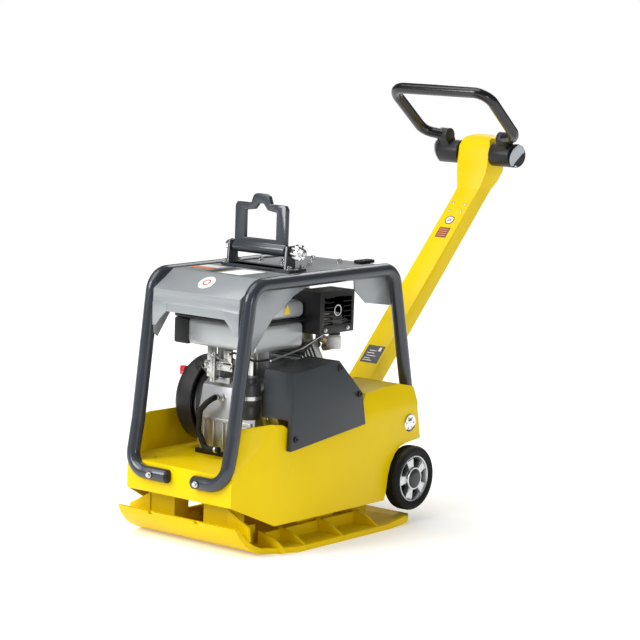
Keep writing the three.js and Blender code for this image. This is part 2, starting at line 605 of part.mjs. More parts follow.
// ---------------------------------------------------------------- lifting eye
const makeEyeBase = () => {
  const baseZ = canopyZ + 2;
  const lug = prismX(outline([[eye.y - 20, baseZ], [eye.y + 20, baseZ], [eye.y + 15, eye.z + 14],
    [eye.y - 15, eye.z + 14]]), 92, 100);
  const base = block(-112, 118, eye.y - 28, eye.y + 42, baseZ, baseZ + 7).subtract(
    block(-70, 70, eye.y - 16, eye.y + 16, baseZ - 1, baseZ + 8));
  return cut(join(base, lug, mirrored(lug)), rodX(9 + GAP, -120, 120, eye.y, eye.z));
};
add('eye_base', makeEyeBase(), FRAME_GREY);

const makeBail = () => {
  const [top, bottom] = [848, eye.z + 6];
  const shape = outline([[-86, bottom], [-86, 838], [-80, top], [-34, top], [-26, 868], [-18, 873], [18, 873],
    [26, 868], [34, top], [80, top], [86, 838], [86, bottom]]);
  const opening = outline([[-52, 758], [-52, 828], [-22, 832], [-8, top], [8, top], [22, 832], [52, 828],
    [52, 758]]);
  const plateOfBail = prismY(shape, eye.y - 6, eye.y + 6).subtract(prismY(opening, eye.y - 10, eye.y + 10));
  const sleeve = rodX(15, -86, 86, eye.y, eye.z);
  return cut(join(plateOfBail, sleeve), rodX(9 + GAP, -90, 90, eye.y, eye.z));
};
add('lifting_bail', makeBail(), FRAME_GREY);

// The pin that the bail folds on, with a hexagon head and a lobed clamp nut.
const makeEyePin = () => {
  let pin = join(rodX(9, -108, 141, eye.y, eye.z), rodX(13, -112, -101, eye.y, eye.z, 6),
    rodX(12, 101, 137, eye.y, eye.z, 20));
  for (let k = 0; k < 6; k += 1) {
    const a = Math.PI * k / 3;
    const [dy, dz] = [13.7 * Math.cos(a + 0.1), 13.7 * Math.sin(a + 0.1)];
    pin = pin.add(rodX(7, 113, 133, eye.y + dy, eye.z + dz, 10));
  }
  return pin;
};
add('eye_pin', makeEyePin(), CHROME);

// ---------------------------------------------------------------- drawbar pole
const makePole = () => {
  const along = new THREE.Vector2(Math.cos(pole.angle), Math.sin(pole.angle));
  const across = new THREE.Vector2(-along.y, along.x);
  const spot = (s, n) => [pole.y + along.x * s + across.x * n, pole.z + along.y * s + across.y * n];
  const foot = rodX(26, -pole.half, pole.half, pole.y, pole.z);
  const shaft = prismX(outline([spot(16, -34), spot(838, -28), spot(800, 18), spot(0, 17), spot(-8, -20)]),
    -pole.half, pole.half);
  const head = prismX(outline([spot(770, 17.8), spot(801, 18), [884, 893], [889, 925], [894, 965], [904, 989],
    [922, 999], [948, 1003], [962, 996], [972, 975], [976, 940], [970, 900],
    spot(874, -27.8), spot(838, -27.8)]),
  -52, 52).intersect(prismY(outline([
    [-pole.half, 800], [pole.half, 800], [37.5, 848], [43, 870], [50, 896], [52, 925],
    [52, 972], [44, 994], [26, 1004], [-26, 1004], [-44, 994], [-52, 972], [-52, 925], [-50, 896], [-43, 870],
    [-37.5, 848]]), 800, 1000));
  const hollow = outline([spot(36, -29), spot(786, -23), spot(786, 13), spot(36, 12)]);
  const inside = prismX(hollow, -pole.half + 3.5,
    pole.half - 3.5);
  const cableExit = prismX(outline([spot(60, -40), spot(84, -40), spot(84, 0), spot(60, 0)]), -12, 12);
  return cut(join(foot, shaft, head), inside, cableExit, rodX(11 + GAP, -40, 40, pole.y, pole.z),
    rodX(15 + GAP, -60, 60, hub.y, hub.z));
};
add('pole', makePole(), YELLOW);
add('pole_pin', rodX(11, -62, 62, pole.y, pole.z), STEEL);
bothSides('pole_bush', ringX(22, 11 + GAP, pole.half + GAP, notchHalf - GAP, pole.y, pole.z), RUBBER);

// ---------------------------------------------------------------- handle
add('handle_shaft', rodX(15, -84, 84, hub.y, hub.z), STEEL);
const ring = { y: 896, z: 995, r: 21.5, inner: 86, outer: 114 };
const loopHalf = [[ring.inner + 6, ring.y, ring.z], [160, 867, 1006], [164, 709, 1130]];
const loopPath = [...loopHalf, ...loopHalf.map(([x, y, z]) => [-x, y, z]).reverse()];
const loopBend = 44;
const loopTube = 15.5;
const loop = tube(loopPath, loopBend, loopTube);
const loopClearance = tube(loopPath, loopBend, loopTube + GAP + 0.2);
const makeHub = () => {
  const slanted = toSolid(new THREE.BoxGeometry(90, 120, 120).rotateZ(THREE.MathUtils.degToRad(-14))
    .translate(84, hub.y, hub.z));
  const barrel = rodX(hub.r, 56, 142, hub.y, hub.z, 28).intersect(slanted);
  const sleeve = rodX(ring.r, ring.inner, ring.outer, ring.y, ring.z, 24);
  const neck = prismX(outline([[884, 978], [898, 948], [932, 962], [912, 1004]]), ring.inner, ring.outer);
  return cut(join(barrel, sleeve, neck), rodX(15 + GAP, 40, 84 + GAP, hub.y, hub.z), loopClearance);
};
bothSides('handle_hub', makeHub(), BLACK);
add('handle_loop', loop, BLACK);

export default machine;
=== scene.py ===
# Reversible vibratory plate compactor: the looks of every piece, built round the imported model.
# Metres, +Z up, +Y towards the operator, origin on the ground at the middle of the flat sole.
import math
import bpy
import bmesh
from mathutils import Matrix, Vector


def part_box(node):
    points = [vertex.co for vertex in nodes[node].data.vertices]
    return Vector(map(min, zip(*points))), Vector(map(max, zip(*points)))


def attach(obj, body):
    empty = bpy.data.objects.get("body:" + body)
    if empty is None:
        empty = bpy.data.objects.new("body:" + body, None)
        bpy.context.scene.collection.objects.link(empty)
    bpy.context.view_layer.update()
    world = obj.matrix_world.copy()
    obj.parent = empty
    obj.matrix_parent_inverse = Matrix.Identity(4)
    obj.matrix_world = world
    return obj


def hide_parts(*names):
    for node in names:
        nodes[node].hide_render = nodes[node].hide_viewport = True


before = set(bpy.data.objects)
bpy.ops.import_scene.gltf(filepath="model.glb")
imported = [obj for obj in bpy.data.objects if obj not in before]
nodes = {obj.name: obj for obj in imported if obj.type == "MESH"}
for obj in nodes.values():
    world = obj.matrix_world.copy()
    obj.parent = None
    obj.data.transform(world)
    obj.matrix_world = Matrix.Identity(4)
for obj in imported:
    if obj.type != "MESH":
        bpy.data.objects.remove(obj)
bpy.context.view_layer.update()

# ---------------------------------------------------------------- camera
# The machine is seen from its front right corner, from a little above the engine, with a long lens.
VIEW_TURN, VIEW_PITCH, VIEW_ROLL = math.radians(38.62), math.radians(7.77), math.radians(2.01)
bpy.ops.object.select_all(action="DESELECT")
bpy.ops.object.camera_add(location=(3.822, -4.566, 1.362))
camera = bpy.context.object
camera.name = "camera"
aim = Matrix.Rotation(VIEW_TURN, 3, "Z") @ Matrix.Rotation(math.pi / 2 - VIEW_PITCH, 3, "X")
camera.rotation_euler = (aim @ Matrix.Rotation(VIEW_ROLL, 3, "Z")).to_euler()
camera.data.lens = 131.05
camera.data.clip_end = 2000
bpy.context.scene.camera = camera

# ---------------------------------------------------------------- floor and studio light
# A pale seamless floor under an even overhead wash, with soft lights on the front left, behind and on the
# right. The surround is white to the eye, gives a dimmer fill, and is darker still in reflections.
bpy.context.scene.view_settings.view_transform = "Standard"


def area_light(name, place, target, size, power):
    """A square soft light that faces its target."""
    bpy.ops.object.light_add(type="AREA", location=place)
    light = bpy.context.object
    light.name = name
    light.data.size = size
    light.data.energy = power
    light.rotation_euler = (Vector(target) - Vector(place)).to_track_quat("-Z", "Y").to_euler()


area_light("light_front", (-1.9, -3.6, 2.6), (0, 0, 0.4), 1.8, 115)
area_light("light_back", (-1.0, 3.2, 3.0), (0, 0, 0.6), 2.0, 40)
area_light("light_right", (4.2, -1.6, 1.4), (0, 0, 0.5), 1.0, 24)
bpy.ops.object.light_add(type="SUN", location=(0, 0, 5), rotation=(math.radians(20), math.radians(-16), 0))
wash = bpy.context.object
wash.name = "light_wash"
wash.data.energy = 1.7
wash.data.angle = math.radians(50)

world = bpy.data.worlds.new("surround")
bpy.context.scene.world = world
world.use_nodes = True
ray = world.node_tree.nodes.new("ShaderNodeLightPath")
strength = world.node_tree.nodes.new("ShaderNodeMapRange")
strength.inputs["To Min"].default_value = 0.42
strength.inputs["To Max"].default_value = 1.0
world.node_tree.links.new(ray.outputs["Is Camera Ray"], strength.inputs["Value"])
mirrored = world.node_tree.nodes.new("ShaderNodeMath")
mirrored.operation = "MULTIPLY_ADD"
mirrored.inputs[1].default_value = -0.27
world.node_tree.links.new(ray.outputs["Is Glossy Ray"], mirrored.inputs[0])
world.node_tree.links.new(strength.outputs["Result"], mirrored.inputs[2])
background = world.node_tree.nodes["Background"]
world.node_tree.links.new(mirrored.outputs["Value"], background.inputs["Strength"])
background.inputs["Color"].default_value = (1, 1, 1, 1)

bpy.ops.mesh.primitive_plane_add(size=400)
floor = bpy.context.object
floor.name = "floor"
floor_look = bpy.data.materials.new("floor_pale")
floor_look.use_nodes = True
floor_shader = floor_look.node_tree.nodes["Principled BSDF"].inputs
floor_shader["Base Color"].default_value = (0.92, 0.92, 0.92, 1)
floor_shader["Roughness"].default_value = 0.9
floor_shader["Emission Color"].default_value = (1, 1, 1, 1)
floor_shader["Emission Strength"].default_value = 0.22
floor.data.materials.append(floor_look)

# ---------------------------------------------------------------- base plate
# One ductile iron casting: a sole that curves up at both ends, stiffening ribs down to the rim and four
# towers that carry the buffers. It is shot blasted and sprayed yellow, so the paint shows the cast skin.


def add_node(tree, kind, sockets=None, **settings):
    """Adds a shader node, then sets or links its input sockets."""
    made = tree.nodes.new("ShaderNode" + kind)
    for key, value in settings.items():
        setattr(made, key, value)
    for key, value in (sockets or {}).items():
        if isinstance(value, bpy.types.NodeSocket):
            tree.links.new(value, made.inputs[key])
        else:
            made.inputs[key].default_value = value
    return made


def shader_group(name, inputs, outputs):
    """An empty node group with its sockets, and the group's own input and output nodes."""
    group = bpy.data.node_groups.new(name, "ShaderNodeTree")
    for label, kind, value in inputs:
        group.interface.new_socket(label, in_out="INPUT", socket_type=kind).default_value = value
    for label in outputs:
        group.interface.new_socket(label, in_out="OUTPUT", socket_type="NodeSocketFloat")
    return group, group.nodes.new("NodeGroupInput").outputs, group.nodes.new("NodeGroupOutput").inputs


def make_worn_and_highlit_edges():
    """Worn paint along sharp edges, with a painted edge highlight there: a mask along sharp edges, broken up
    by a noise.
    """
    group, given, out = shader_group(
        "worn_and_highlit_edges",
        [("Radius", "NodeSocketFloat", 0.002), ("Amount", "NodeSocketFloat", 0.5),
         ("Scale", "NodeSocketFloat", 60.0)],
        ["Mask"])
    place = add_node(group, "TexCoord").outputs["Object"]
    true_normal = add_node(group, "NewGeometry").outputs["Normal"]
    soft_normal = add_node(group, "Bevel", {"Radius": given["Radius"]}, samples=4).outputs["Normal"]
    same = add_node(group, "VectorMath", {0: true_normal, 1: soft_normal},
                    operation="DOT_PRODUCT").outputs["Value"]
    edge = add_node(group, "MapRange", {"Value": same, "From Min": 0.995, "From Max": 0.90, "To Min": 0.0,
                                        "To Max": 1.0}).outputs["Result"]
    breaks = add_node(group, "TexNoise", {"Vector": place, "Scale": given["Scale"],
                                          "Detail": 5.0}).outputs["Fac"]
    patchy = add_node(group, "MapRange", {"Value": breaks, "From Min": 0.47,
                                          "From Max": 0.62}).outputs["Result"]
    both = add_node(group, "Math", {0: edge, 1: patchy}, operation="MULTIPLY").outputs[0]
    mask = add_node(group, "Math", {0: both, 1: given["Amount"]}, operation="MULTIPLY",
                    use_clamp=True).outputs[0]
    group.links.new(mask, out["Mask"])
    return group


def make_skin():
    """Slow and fine unevenness of a finish: Tone drifts over the surface, Height is its texture."""
    group, given, out = shader_group(
        "uneven_skin",
        [("Tone Scale", "NodeSocketFloat", 6.0), ("Grain Scale", "NodeSocketFloat", 400.0),
         ("Wave Scale", "NodeSocketFloat", 60.0), ("Wave Share", "NodeSocketFloat", 0.3)],
        ["Tone", "Height"])
    place = add_node(group, "TexCoord").outputs["Object"]
    tone = add_node(group, "TexNoise", {"Vector": place, "Scale": given["Tone Scale"],
                                        "Detail": 6.0}).outputs["Fac"]
    grain = add_node(group, "TexNoise", {"Vector": place, "Scale": given["Grain Scale"],
                                         "Detail": 2.0}).outputs["Fac"]
    wave = add_node(group, "TexNoise", {"Vector": place, "Scale": given["Wave Scale"],
                                        "Detail": 2.0}).outputs["Fac"]
    height = add_node(group, "Mix", {"Factor": given["Wave Share"], "A": grain, "B": wave}).outputs["Result"]
    group.links.new(tone, out["Tone"])
    group.links.new(height, out["Height"])
    return group


def make_dust():
    """Dust that settles on what faces up, in drifts."""
    group, given, out = shader_group("settled_dust", [("Amount", "NodeSocketFloat", 0.2)], ["Mask"])
    place = add_node(group, "TexCoord").outputs["Object"]
    normal = add_node(group, "NewGeometry").outputs["Normal"]
    up = add_node(group, "SeparateXYZ", {0: normal}).outputs["Z"]
    facing = add_node(group, "MapRange", {"Value": up, "From Min": 0.35, "From Max": 0.95}).outputs["Result"]
    drift = add_node(group, "TexNoise", {"Vector": place, "Scale": 14.0, "Detail": 8.0}).outputs["Fac"]
    patch = add_node(group, "MapRange", {"Value": drift, "From Min": 0.4, "From Max": 0.7}).outputs["Result"]
    both = add_node(group, "Math", {0: facing, 1: patch}, operation="MULTIPLY").outputs[0]
    mask = add_node(group, "Math", {0: both, 1: given["Amount"]}, operation="MULTIPLY",
                    use_clamp=True).outputs[0]
    group.links.new(mask, out["Mask"])
    return group


worn_and_highlit_edges = make_worn_and_highlit_edges()
uneven_skin = make_skin()
settled_dust = make_dust()
DUST = (0.42, 0.38, 0.31, 1)


def coated(name, color, rough, metallic=0.0, coat=0.0, drift=0.12, grain=400.0, wave=60.0, wave_share=0.3,
           bump=0.1, edge_wear_and_highlight=0.0, bare_and_highlight_colour=(0.35, 0.35, 0.36), dust=0.15, glare=0.5):
    """A finish with drifting tone, its own surface texture, worn edges that also carry a painted edge
    highlight, and a little dust.
    """
    look = bpy.data.materials.new(name)
    look.use_nodes = True
    tree = look.node_tree
    shader = tree.nodes["Principled BSDF"]
    shader.inputs["Metallic"].default_value = metallic
    shader.inputs["Coat Weight"].default_value = coat
    shader.inputs["Coat Roughness"].default_value = 0.12
    shader.inputs["Specular IOR Level"].default_value = glare
    skin = add_node(tree, "Group", {}, node_tree=uneven_skin)
    for label, value in (("Grain Scale", grain), ("Wave Scale", wave), ("Wave Share", wave_share)):
        skin.inputs[label].default_value = value
    dark = [c * (1 - drift) for c in color]
    light = [min(1, c * (1 + drift)) for c in color]
    ramp = add_node(tree, "ValToRGB", {"Fac": skin.outputs["Tone"]})
    ramp.color_ramp.elements[0].position = 0.3
    ramp.color_ramp.elements[0].color = (*dark, 1)
    ramp.color_ramp.elements[1].position = 0.7
    ramp.color_ramp.elements[1].color = (*light, 1)
    color_out = ramp.outputs["Color"]
    # Along sharp edges a second colour is mixed in. It stands for worn paint, and where that colour is
    # lighter than the finish it is also a painted edge highlight.
    if edge_wear_and_highlight:
        edge_wear_and_highlight_mask = add_node(tree, "Group", {}, node_tree=worn_and_highlit_edges)
        edge_wear_and_highlight_mask.inputs["Amount"].default_value = edge_wear_and_highlight
        color_out = add_node(tree, "MixRGB", {"Fac": edge_wear_and_highlight_mask.outputs["Mask"], "Color1": color_out,
                                              "Color2": (*bare_and_highlight_colour, 1)}).outputs["Color"]
    if dust:
        film = add_node(tree, "Group", {}, node_tree=settled_dust)
        film.inputs["Amount"].default_value = dust
        color_out = add_node(tree, "MixRGB", {"Fac": film.outputs["Mask"], "Color1": color_out,
                                              "Color2": DUST}).outputs["Color"]
    tree.links.new(color_out, shader.inputs["Base Color"])
    sheen = add_node(tree, "MapRange", {"Value": skin.outputs["Tone"], "From Min": 0.25, "From Max": 0.75,
                                        "To Min": rough * 0.8, "To Max": rough * 1.25})
    tree.links.new(sheen.outputs["Result"], shader.inputs["Roughness"])
    relief = add_node(tree, "Bump", {"Height": skin.outputs["Height"], "Strength": bump, "Distance": 0.001})
    tree.links.new(relief.outputs["Normal"], shader.inputs["Normal"])
    return look


def pick(piece):
    """Selects this piece and nothing else, since an operator acts on all that is selected."""
    if bpy.context.object is not None and bpy.context.object.mode != "OBJECT":
        bpy.ops.object.mode_set(mode="OBJECT")
    bpy.ops.object.select_all(action="DESELECT")
    piece.select_set(True)
    bpy.context.view_layer.objects.active = piece


def applied(piece):
    """Moves a piece's place, turn and size into its mesh."""
    pick(piece)
    bpy.ops.object.transform_apply(location=True, rotation=True, scale=True)
    return piece


def rounded(piece, width, segments=2, angle=30):
    """Breaks the piece's sharp edges, as a file or a mould does."""
    pick(piece)
    edge = piece.modifiers.new("edges", "BEVEL")
    edge.width = width
    edge.segments = segments
    edge.limit_method = "ANGLE"
    edge.angle_limit = math.radians(angle)
    edge.miter_outer = "MITER_ARC"
    bpy.ops.object.modifier_apply(modifier=edge.name)
    return piece


def bench_copy(node, width=0.001, segments=2, angle=30):
    """A copy of a CAD node, merged into clean faces, with its edges rounded."""
    piece = bpy.data.objects.new(node, nodes[node].data.copy())
    bpy.context.scene.collection.objects.link(piece)
    pick(piece)
    bpy.ops.mesh.customdata_custom_splitnormals_clear()
    bpy.ops.object.mode_set(mode="EDIT")
    bpy.ops.mesh.select_all(action="SELECT")
    bpy.ops.mesh.remove_doubles(threshold=0.00002)
    bpy.ops.mesh.dissolve_limited(angle_limit=math.radians(0.6))
    bpy.ops.object.mode_set(mode="OBJECT")
    if width:
        rounded(piece, width, segments, angle)
    return piece


def fitted(piece, name, body, look, angle=35, stands_for=()):
    """Gives a modelled piece its name, finish and body, with its place in its mesh."""
    applied(piece)
    bpy.ops.object.shade_smooth_by_angle(angle=math.radians(angle))
    piece.data.materials.clear()
    piece.data.materials.append(look)
    piece.name = name
    piece.data.name = name
    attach(piece, body)
    if stands_for:
        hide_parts(*stands_for)
    return piece


def joined(pieces):
    """Several pieces of one finish made into one."""
    bpy.ops.object.select_all(action="DESELECT")
    for piece in pieces:
        piece.select_set(True)
    bpy.context.view_layer.objects.active = pieces[0]
    if len(pieces) > 1:
        bpy.ops.object.join()
    return pieces[0]


cast_yellow = coated("cast_yellow", (0.80, 0.56, 0.0), 0.42, coat=0.0, grain=700, wave=160, wave_share=0.6,
                     bump=0.3, edge_wear_and_highlight=0.3, drift=0.05, bare_and_highlight_colour=(0.5, 0.36, 0.01), dust=0.04, glare=0.12)
sheet_yellow = coated("sheet_yellow", (0.82, 0.59, 0.0), 0.34, coat=0.02, grain=500, wave=45, wave_share=0.7,
                      bump=0.06, edge_wear_and_highlight=0.15, drift=0.03, bare_and_highlight_colour=(0.6, 0.44, 0.01), dust=0.01, glare=0.14)
fitted(bench_copy("base_plate", 0.0022, 3), "plate_casting", "machine", cast_yellow,
       stands_for=["base_plate"])

# ---------------------------------------------------------------- exciter
# A cast steel tube with two bolted end covers, welded feet and, inside, two geared shafts with half-round
# weights on ball bearings. The castings are sprayed with the plate; shafts and gears stay bare and oiled.


def kept(node, look):
    """Keeps a CAD node as it is, gives it its finish and shades its round faces smoothly."""
    piece = nodes[node]
    piece.data.materials.clear()
    piece.data.materials.append(look)
    for face in piece.data.polygons:
        face.use_smooth = True
    weld = piece.modifiers.new("weld", "WELD")
    weld.merge_threshold = 0.00002
    edge = piece.modifiers.new("edges", "BEVEL")
    edge.width = 0.0006
    edge.segments = 1
    edge.limit_method = "ANGLE"
    edge.angle_limit = math.radians(35)
    even = piece.modifiers.new("even", "WEIGHTED_NORMAL")
    even.keep_sharp = True


def rod(start, end, radius, sides=24, edge=0.0):
    """A round bar between two points, with its rims broken."""
    first, last = Vector(start), Vector(end)
    bpy.ops.mesh.primitive_cylinder_add(vertices=sides, radius=radius, depth=(last - first).length,
                                        location=(first + last) / 2,
                                        rotation=(last - first).to_track_quat("Z", "Y").to_euler())
    piece = bpy.context.object
    return rounded(piece, edge, 2, 40) if edge else piece


def hex_bolt(place, axis, radius, height):
    """A washer and a hexagon head with a chamfered crown, standing on a face."""
    foot, way = Vector(place), Vector(axis).normalized()
    washer = rod(foot, foot + way * radius * 0.25, radius * 1.35, 24, radius * 0.06)
    head = rod(foot + way * radius * 0.2, foot + way * height, radius, 6, radius * 0.14)
    crown = rod(foot + way * height * 0.98, foot + way * (height + radius * 0.08), radius * 0.78, 20)
    return joined([washer, head, crown])


def hex_bolts(name, body, look, radius, height, spots):
    """A set of like bolts as one piece of separate solids. Spots are (place, axis)."""
    return fitted(joined([hex_bolt(place, axis, radius, height) for place, axis in spots]), name, body, look)


bare_steel = coated("bare_steel", (0.45, 0.46, 0.47), 0.3, metallic=1.0, grain=900, wave=220, bump=0.05,
                    dust=0.1)
zinc = coated("zinc_plate", (0.62, 0.62, 0.60), 0.28, metallic=1.0, drift=0.2, grain=600, bump=0.05, dust=0)
for node in ("eccentric_shaft_front", "eccentric_shaft_rear", "timing_gear_front", "timing_gear_rear",
             "wheel_axle", "handle_shaft"):
    kept(node, bare_steel)
for node in ("bearing_front_right", "bearing_front_left", "bearing_rear_right", "bearing_rear_left",
             "pole_pin"):
    kept(node, zinc)

for node in ("exciter_housing", "exciter_cover_right", "exciter_cover_left"):
    fitted(bench_copy(node, 0.0018, 3), node.replace("exciter", "exciter_case"), "machine", cast_yellow,
           stands_for=[node])

cover_low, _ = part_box("exciter_cover_left")
bolt_ring = []
for side in (1, -1):
    for k in range(10):
        angle = 2 * math.pi * (k + 0.5) / 10
        y = 0.040 + math.copysign(0.035, math.cos(angle)) + 0.045 * math.cos(angle)
        bolt_ring.append(((side * abs(cover_low.x), y, 0.105 + 0.045 * math.sin(angle)), (side, 0, 0)))
hex_bolts("exciter_cover_bolts", "machine", zinc, 0.0048, 0.005, bolt_ring)

# ---------------------------------------------------------------- rubber buffers
# Four rubber blocks bonded between steel discs keep the shaking plate away from the engine. Each is
# waisted, moulded in black natural rubber, and bolted through a tower of the plate.


def built(name, points, edges, faces):
    """A new piece from bare points, edges and faces, picked and ready for an operator."""
    mesh = bpy.data.meshes.new(name)
    mesh.from_pydata(points, edges, faces)
    piece = bpy.data.objects.new(name, mesh)
    bpy.context.scene.collection.objects.link(piece)
    pick(piece)
    return piece


def turned(profile, centre, axis="Z", steps=48):
    """A piece turned on a lathe. The profile's points are (radius, place along the axis)."""
    spins = {"X": (1, 0, 0), "Y": (0, 1, 0), "Z": (0, 0, 1)}
    place = {"X": lambda r, a: (a, r, 0), "Y": lambda r, a: (0, a, r), "Z": lambda r, a: (r, 0, a)}[axis]
    edges = [(i, i + 1) for i in range(len(profile) - 1)]
    piece = built("turned", [place(r, a) for r, a in profile], edges, [])
    bpy.ops.object.mode_set(mode="EDIT")
    bpy.ops.mesh.select_all(action="SELECT")
    bpy.ops.mesh.spin(steps=steps, angle=2 * math.pi, center=(0, 0, 0), axis=spins[axis])
    bpy.ops.mesh.select_all(action="SELECT")
    bpy.ops.mesh.remove_doubles(threshold=0.00001)
    bpy.ops.mesh.normals_make_consistent(inside=False)
    bpy.ops.object.mode_set(mode="OBJECT")
    piece.location = centre
    return piece


black_rubber = coated("black_rubber", (0.010, 0.010, 0.011), 0.62, glare=0.3, grain=900, wave=120, bump=0.12,
                      drift=0.25, dust=0.2)
for node in ("buffer_front_right", "buffer_front_left", "buffer_rear_right", "buffer_rear_left"):
    low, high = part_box(node)
    foot, top = low.z, high.z
    waist = [(0, foot), (0.0278, foot), (0.0278, foot + 0.004), (0.0255, foot + 0.005),
             (0.0272, foot + 0.009), (0.0268, foot + 0.013), (0.0235, foot + 0.0195), (0.0268, top - 0.013),
             (0.0272, top - 0.009), (0.0255, top - 0.005), (0.0278, top - 0.004), (0.0278, top), (0, top)]
    middle = (low + high) / 2
    fitted(turned(waist, (middle.x, middle.y, 0)), node.replace("buffer", "rubber_buffer"), "machine",
           black_rubber, 40, stands_for=[node])

# ---------------------------------------------------------------- upper body
# A welded tray of 5 mm sheet steel that carries the engine, with a tall box at the rear for the pole's
# hinge. Its long bends are soft, its cut edges are ground, and it is sprayed yellow like the plate.


def drilled(piece, cutters):
    """Cuts a piece with others, which are used up."""
    for cutter in cutters:
        pick(piece)
        hole = piece.modifiers.new("hole", "BOOLEAN")
        hole.object = cutter
        hole.solver = "EXACT"
        bpy.ops.object.modifier_apply(modifier=hole.name)
        bpy.data.objects.remove(cutter)
    return piece


fitted(bench_copy("upper_body", 0.0022, 3, 25), "body_tray", "machine", sheet_yellow,
       stands_for=["upper_body"])
chrome = coated("chrome_plate", (0.80, 0.80, 0.81), 0.08, metallic=1.0, drift=0.03, grain=300, wave=30,
                bump=0.02, dust=0)
satin_black = coated("satin_black", (0.012, 0.012, 0.013), 0.40, glare=0.35, grain=800, wave=120, bump=0.12,
                     drift=0.2, edge_wear_and_highlight=0.15, bare_and_highlight_colour=(0.2, 0.2, 0.2), dust=0.15)
_, body_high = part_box("upper_body")
VENT_Y, VENT_Z, VENT_RING = 0.340, 0.266, 0.0150
for side, label in ((1, "right"), (-1, "left")):
    # The vent cap on each flank: a pressed disc with a rolled rim and six holes round its raised middle.
    face = side * body_high.x
    dish = [(0, 0.004), (0.008, 0.0045), (0.011, 0.003), (0.019, 0.003), (0.0222, 0.0042), (0.0238, 0.0025),
            (0.0238, 0.0), (0, 0.0)]
    cap = applied(turned([(r, side * a) for r, a in dish], (face, VENT_Y, VENT_Z), "X", 40))
    holes = []
    for k in range(6):
        y = VENT_Y + VENT_RING * math.cos(k * math.pi / 3)
        z = VENT_Z + VENT_RING * math.sin(k * math.pi / 3)
        holes.append(rod((face - 0.01, y, z), (face + 0.01, y, z), 0.0030, 12))
    fitted(drilled(cap, holes), "vent_cap_" + label, "machine", chrome)

# ---------------------------------------------------------------- frame hoops
# Two bent steel tubes guard the engine. Each is bolted to the tray's front by its turned-in foot, runs up
# and back over the engine, and comes down behind the tray. They are powder coated in a blue-grey metallic.


def rounded_route(points, bend, steps):
    """Corner points with each corner turned into an arc of the bend's radius."""
    corners = [Vector(p) for p in points]
    route = [corners[0]]
    for i in range(1, len(corners) - 1):
        into = (corners[i] - corners[i - 1]).normalized()
        out = (corners[i + 1] - corners[i]).normalized()
        half = into.angle(out) / 2
        if half < 0.01:
            route.append(corners[i])
            continue
        middle = corners[i] + (out - into).normalized() * bend / math.cos(half)
        spoke = corners[i] - into * bend * math.tan(half) - middle
        hinge = into.cross(out).normalized()
        for k in range(steps + 1):
            route.append(middle + Matrix.Rotation(2 * half * k / steps, 3, hinge) @ spoke)
    return route + [corners[-1]]


def bent_tube(points, radius, bend=0.03, steps=8, roundness=8):
    """A round tube or wire bent along a route of corner points, with closed ends."""
    route = rounded_route(points, bend, steps)
    built("route", route, [(i, i + 1) for i in range(len(route) - 1)], [])
    bpy.ops.object.convert(target="CURVE")
    piece = bpy.context.object
    piece.data.bevel_depth = radius
    piece.data.bevel_resolution = roundness
    piece.data.use_fill_caps = True
    bpy.ops.object.convert(target="MESH")
    piece = bpy.context.object
    bpy.ops.object.mode_set(mode="EDIT")
    bpy.ops.mesh.select_all(action="SELECT")
    bpy.ops.mesh.remove_doubles(threshold=0.00001)
    bpy.ops.mesh.normals_make_consistent(inside=False)
    bpy.ops.object.mode_set(mode="OBJECT")
    return piece


frame_coat = coated("frame_coat", (0.034, 0.041, 0.051), 0.30, metallic=0.2, coat=0.4, grain=1500, wave=50,
                    wave_share=0.3, bump=0.06, drift=0.06, edge_wear_and_highlight=0.15, bare_and_highlight_colour=(0.2, 0.21, 0.22), dust=0.04)
RAIL = 0.0175
FOOT_Y, FOOT_Z = -0.330, 0.174
for side, label, stub in ((1, "right", 0.058), (-1, "left", 0.031)):
    route = [(stub, FOOT_Y, FOOT_Z), (0.158, FOOT_Y, FOOT_Z), (0.1595, -0.305, 0.300), (0.162, -0.256, 0.668),
             (0.164, 0.316, 0.673), (0.164, 0.416, 0.246)]
    hoop = bent_tube([(side * x, y, z) for x, y, z in route], RAIL, 0.052, 12, 12)
    fitted(rounded(hoop, 0.002, 3, 60), "hoop_" + label, "machine", frame_coat, 45,
           stands_for=["frame_hoop_" + label])
    plug = turned([(0, -0.001), (RAIL - 0.0022, -0.001), (RAIL - 0.0022, 0.0015), (RAIL - 0.004, 0.0045),
                   (RAIL - 0.009, 0.0062), (0, 0.0068)], (0, 0, 0), "X", 32)
    plug.location = (side * stub, FOOT_Y, FOOT_Z)
    if side > 0:
        plug.rotation_euler = (0, 0, math.pi)
    fitted(plug, "hoop_plug_" + label, "machine", satin_black)

foot_bolts = [Vector((side * 0.078, FOOT_Y - RAIL + 0.0006, FOOT_Z)) for side in (-1, 1)]
washers = [rod(spot + Vector((0, 0.001, 0)), spot + Vector((0, -0.002, 0)), 0.0095, 28, 0.0005)
           for spot in foot_bolts]
fitted(joined(washers), "hoop_bolt_washers", "machine", satin_black)
hex_bolts("hoop_bolts", "machine", zinc, 0.0062, 0.007,
          [(spot + Vector((0, -0.002, 0)), (0, -1, 0)) for spot in foot_bolts])
hex_bolts("hoop_rear_bolts", "machine", zinc, 0.0065, 0.007,
          [((side * 0.164, 0.4225, 0.290), (0, 0.97, 0.23)) for side in (-1, 1)])

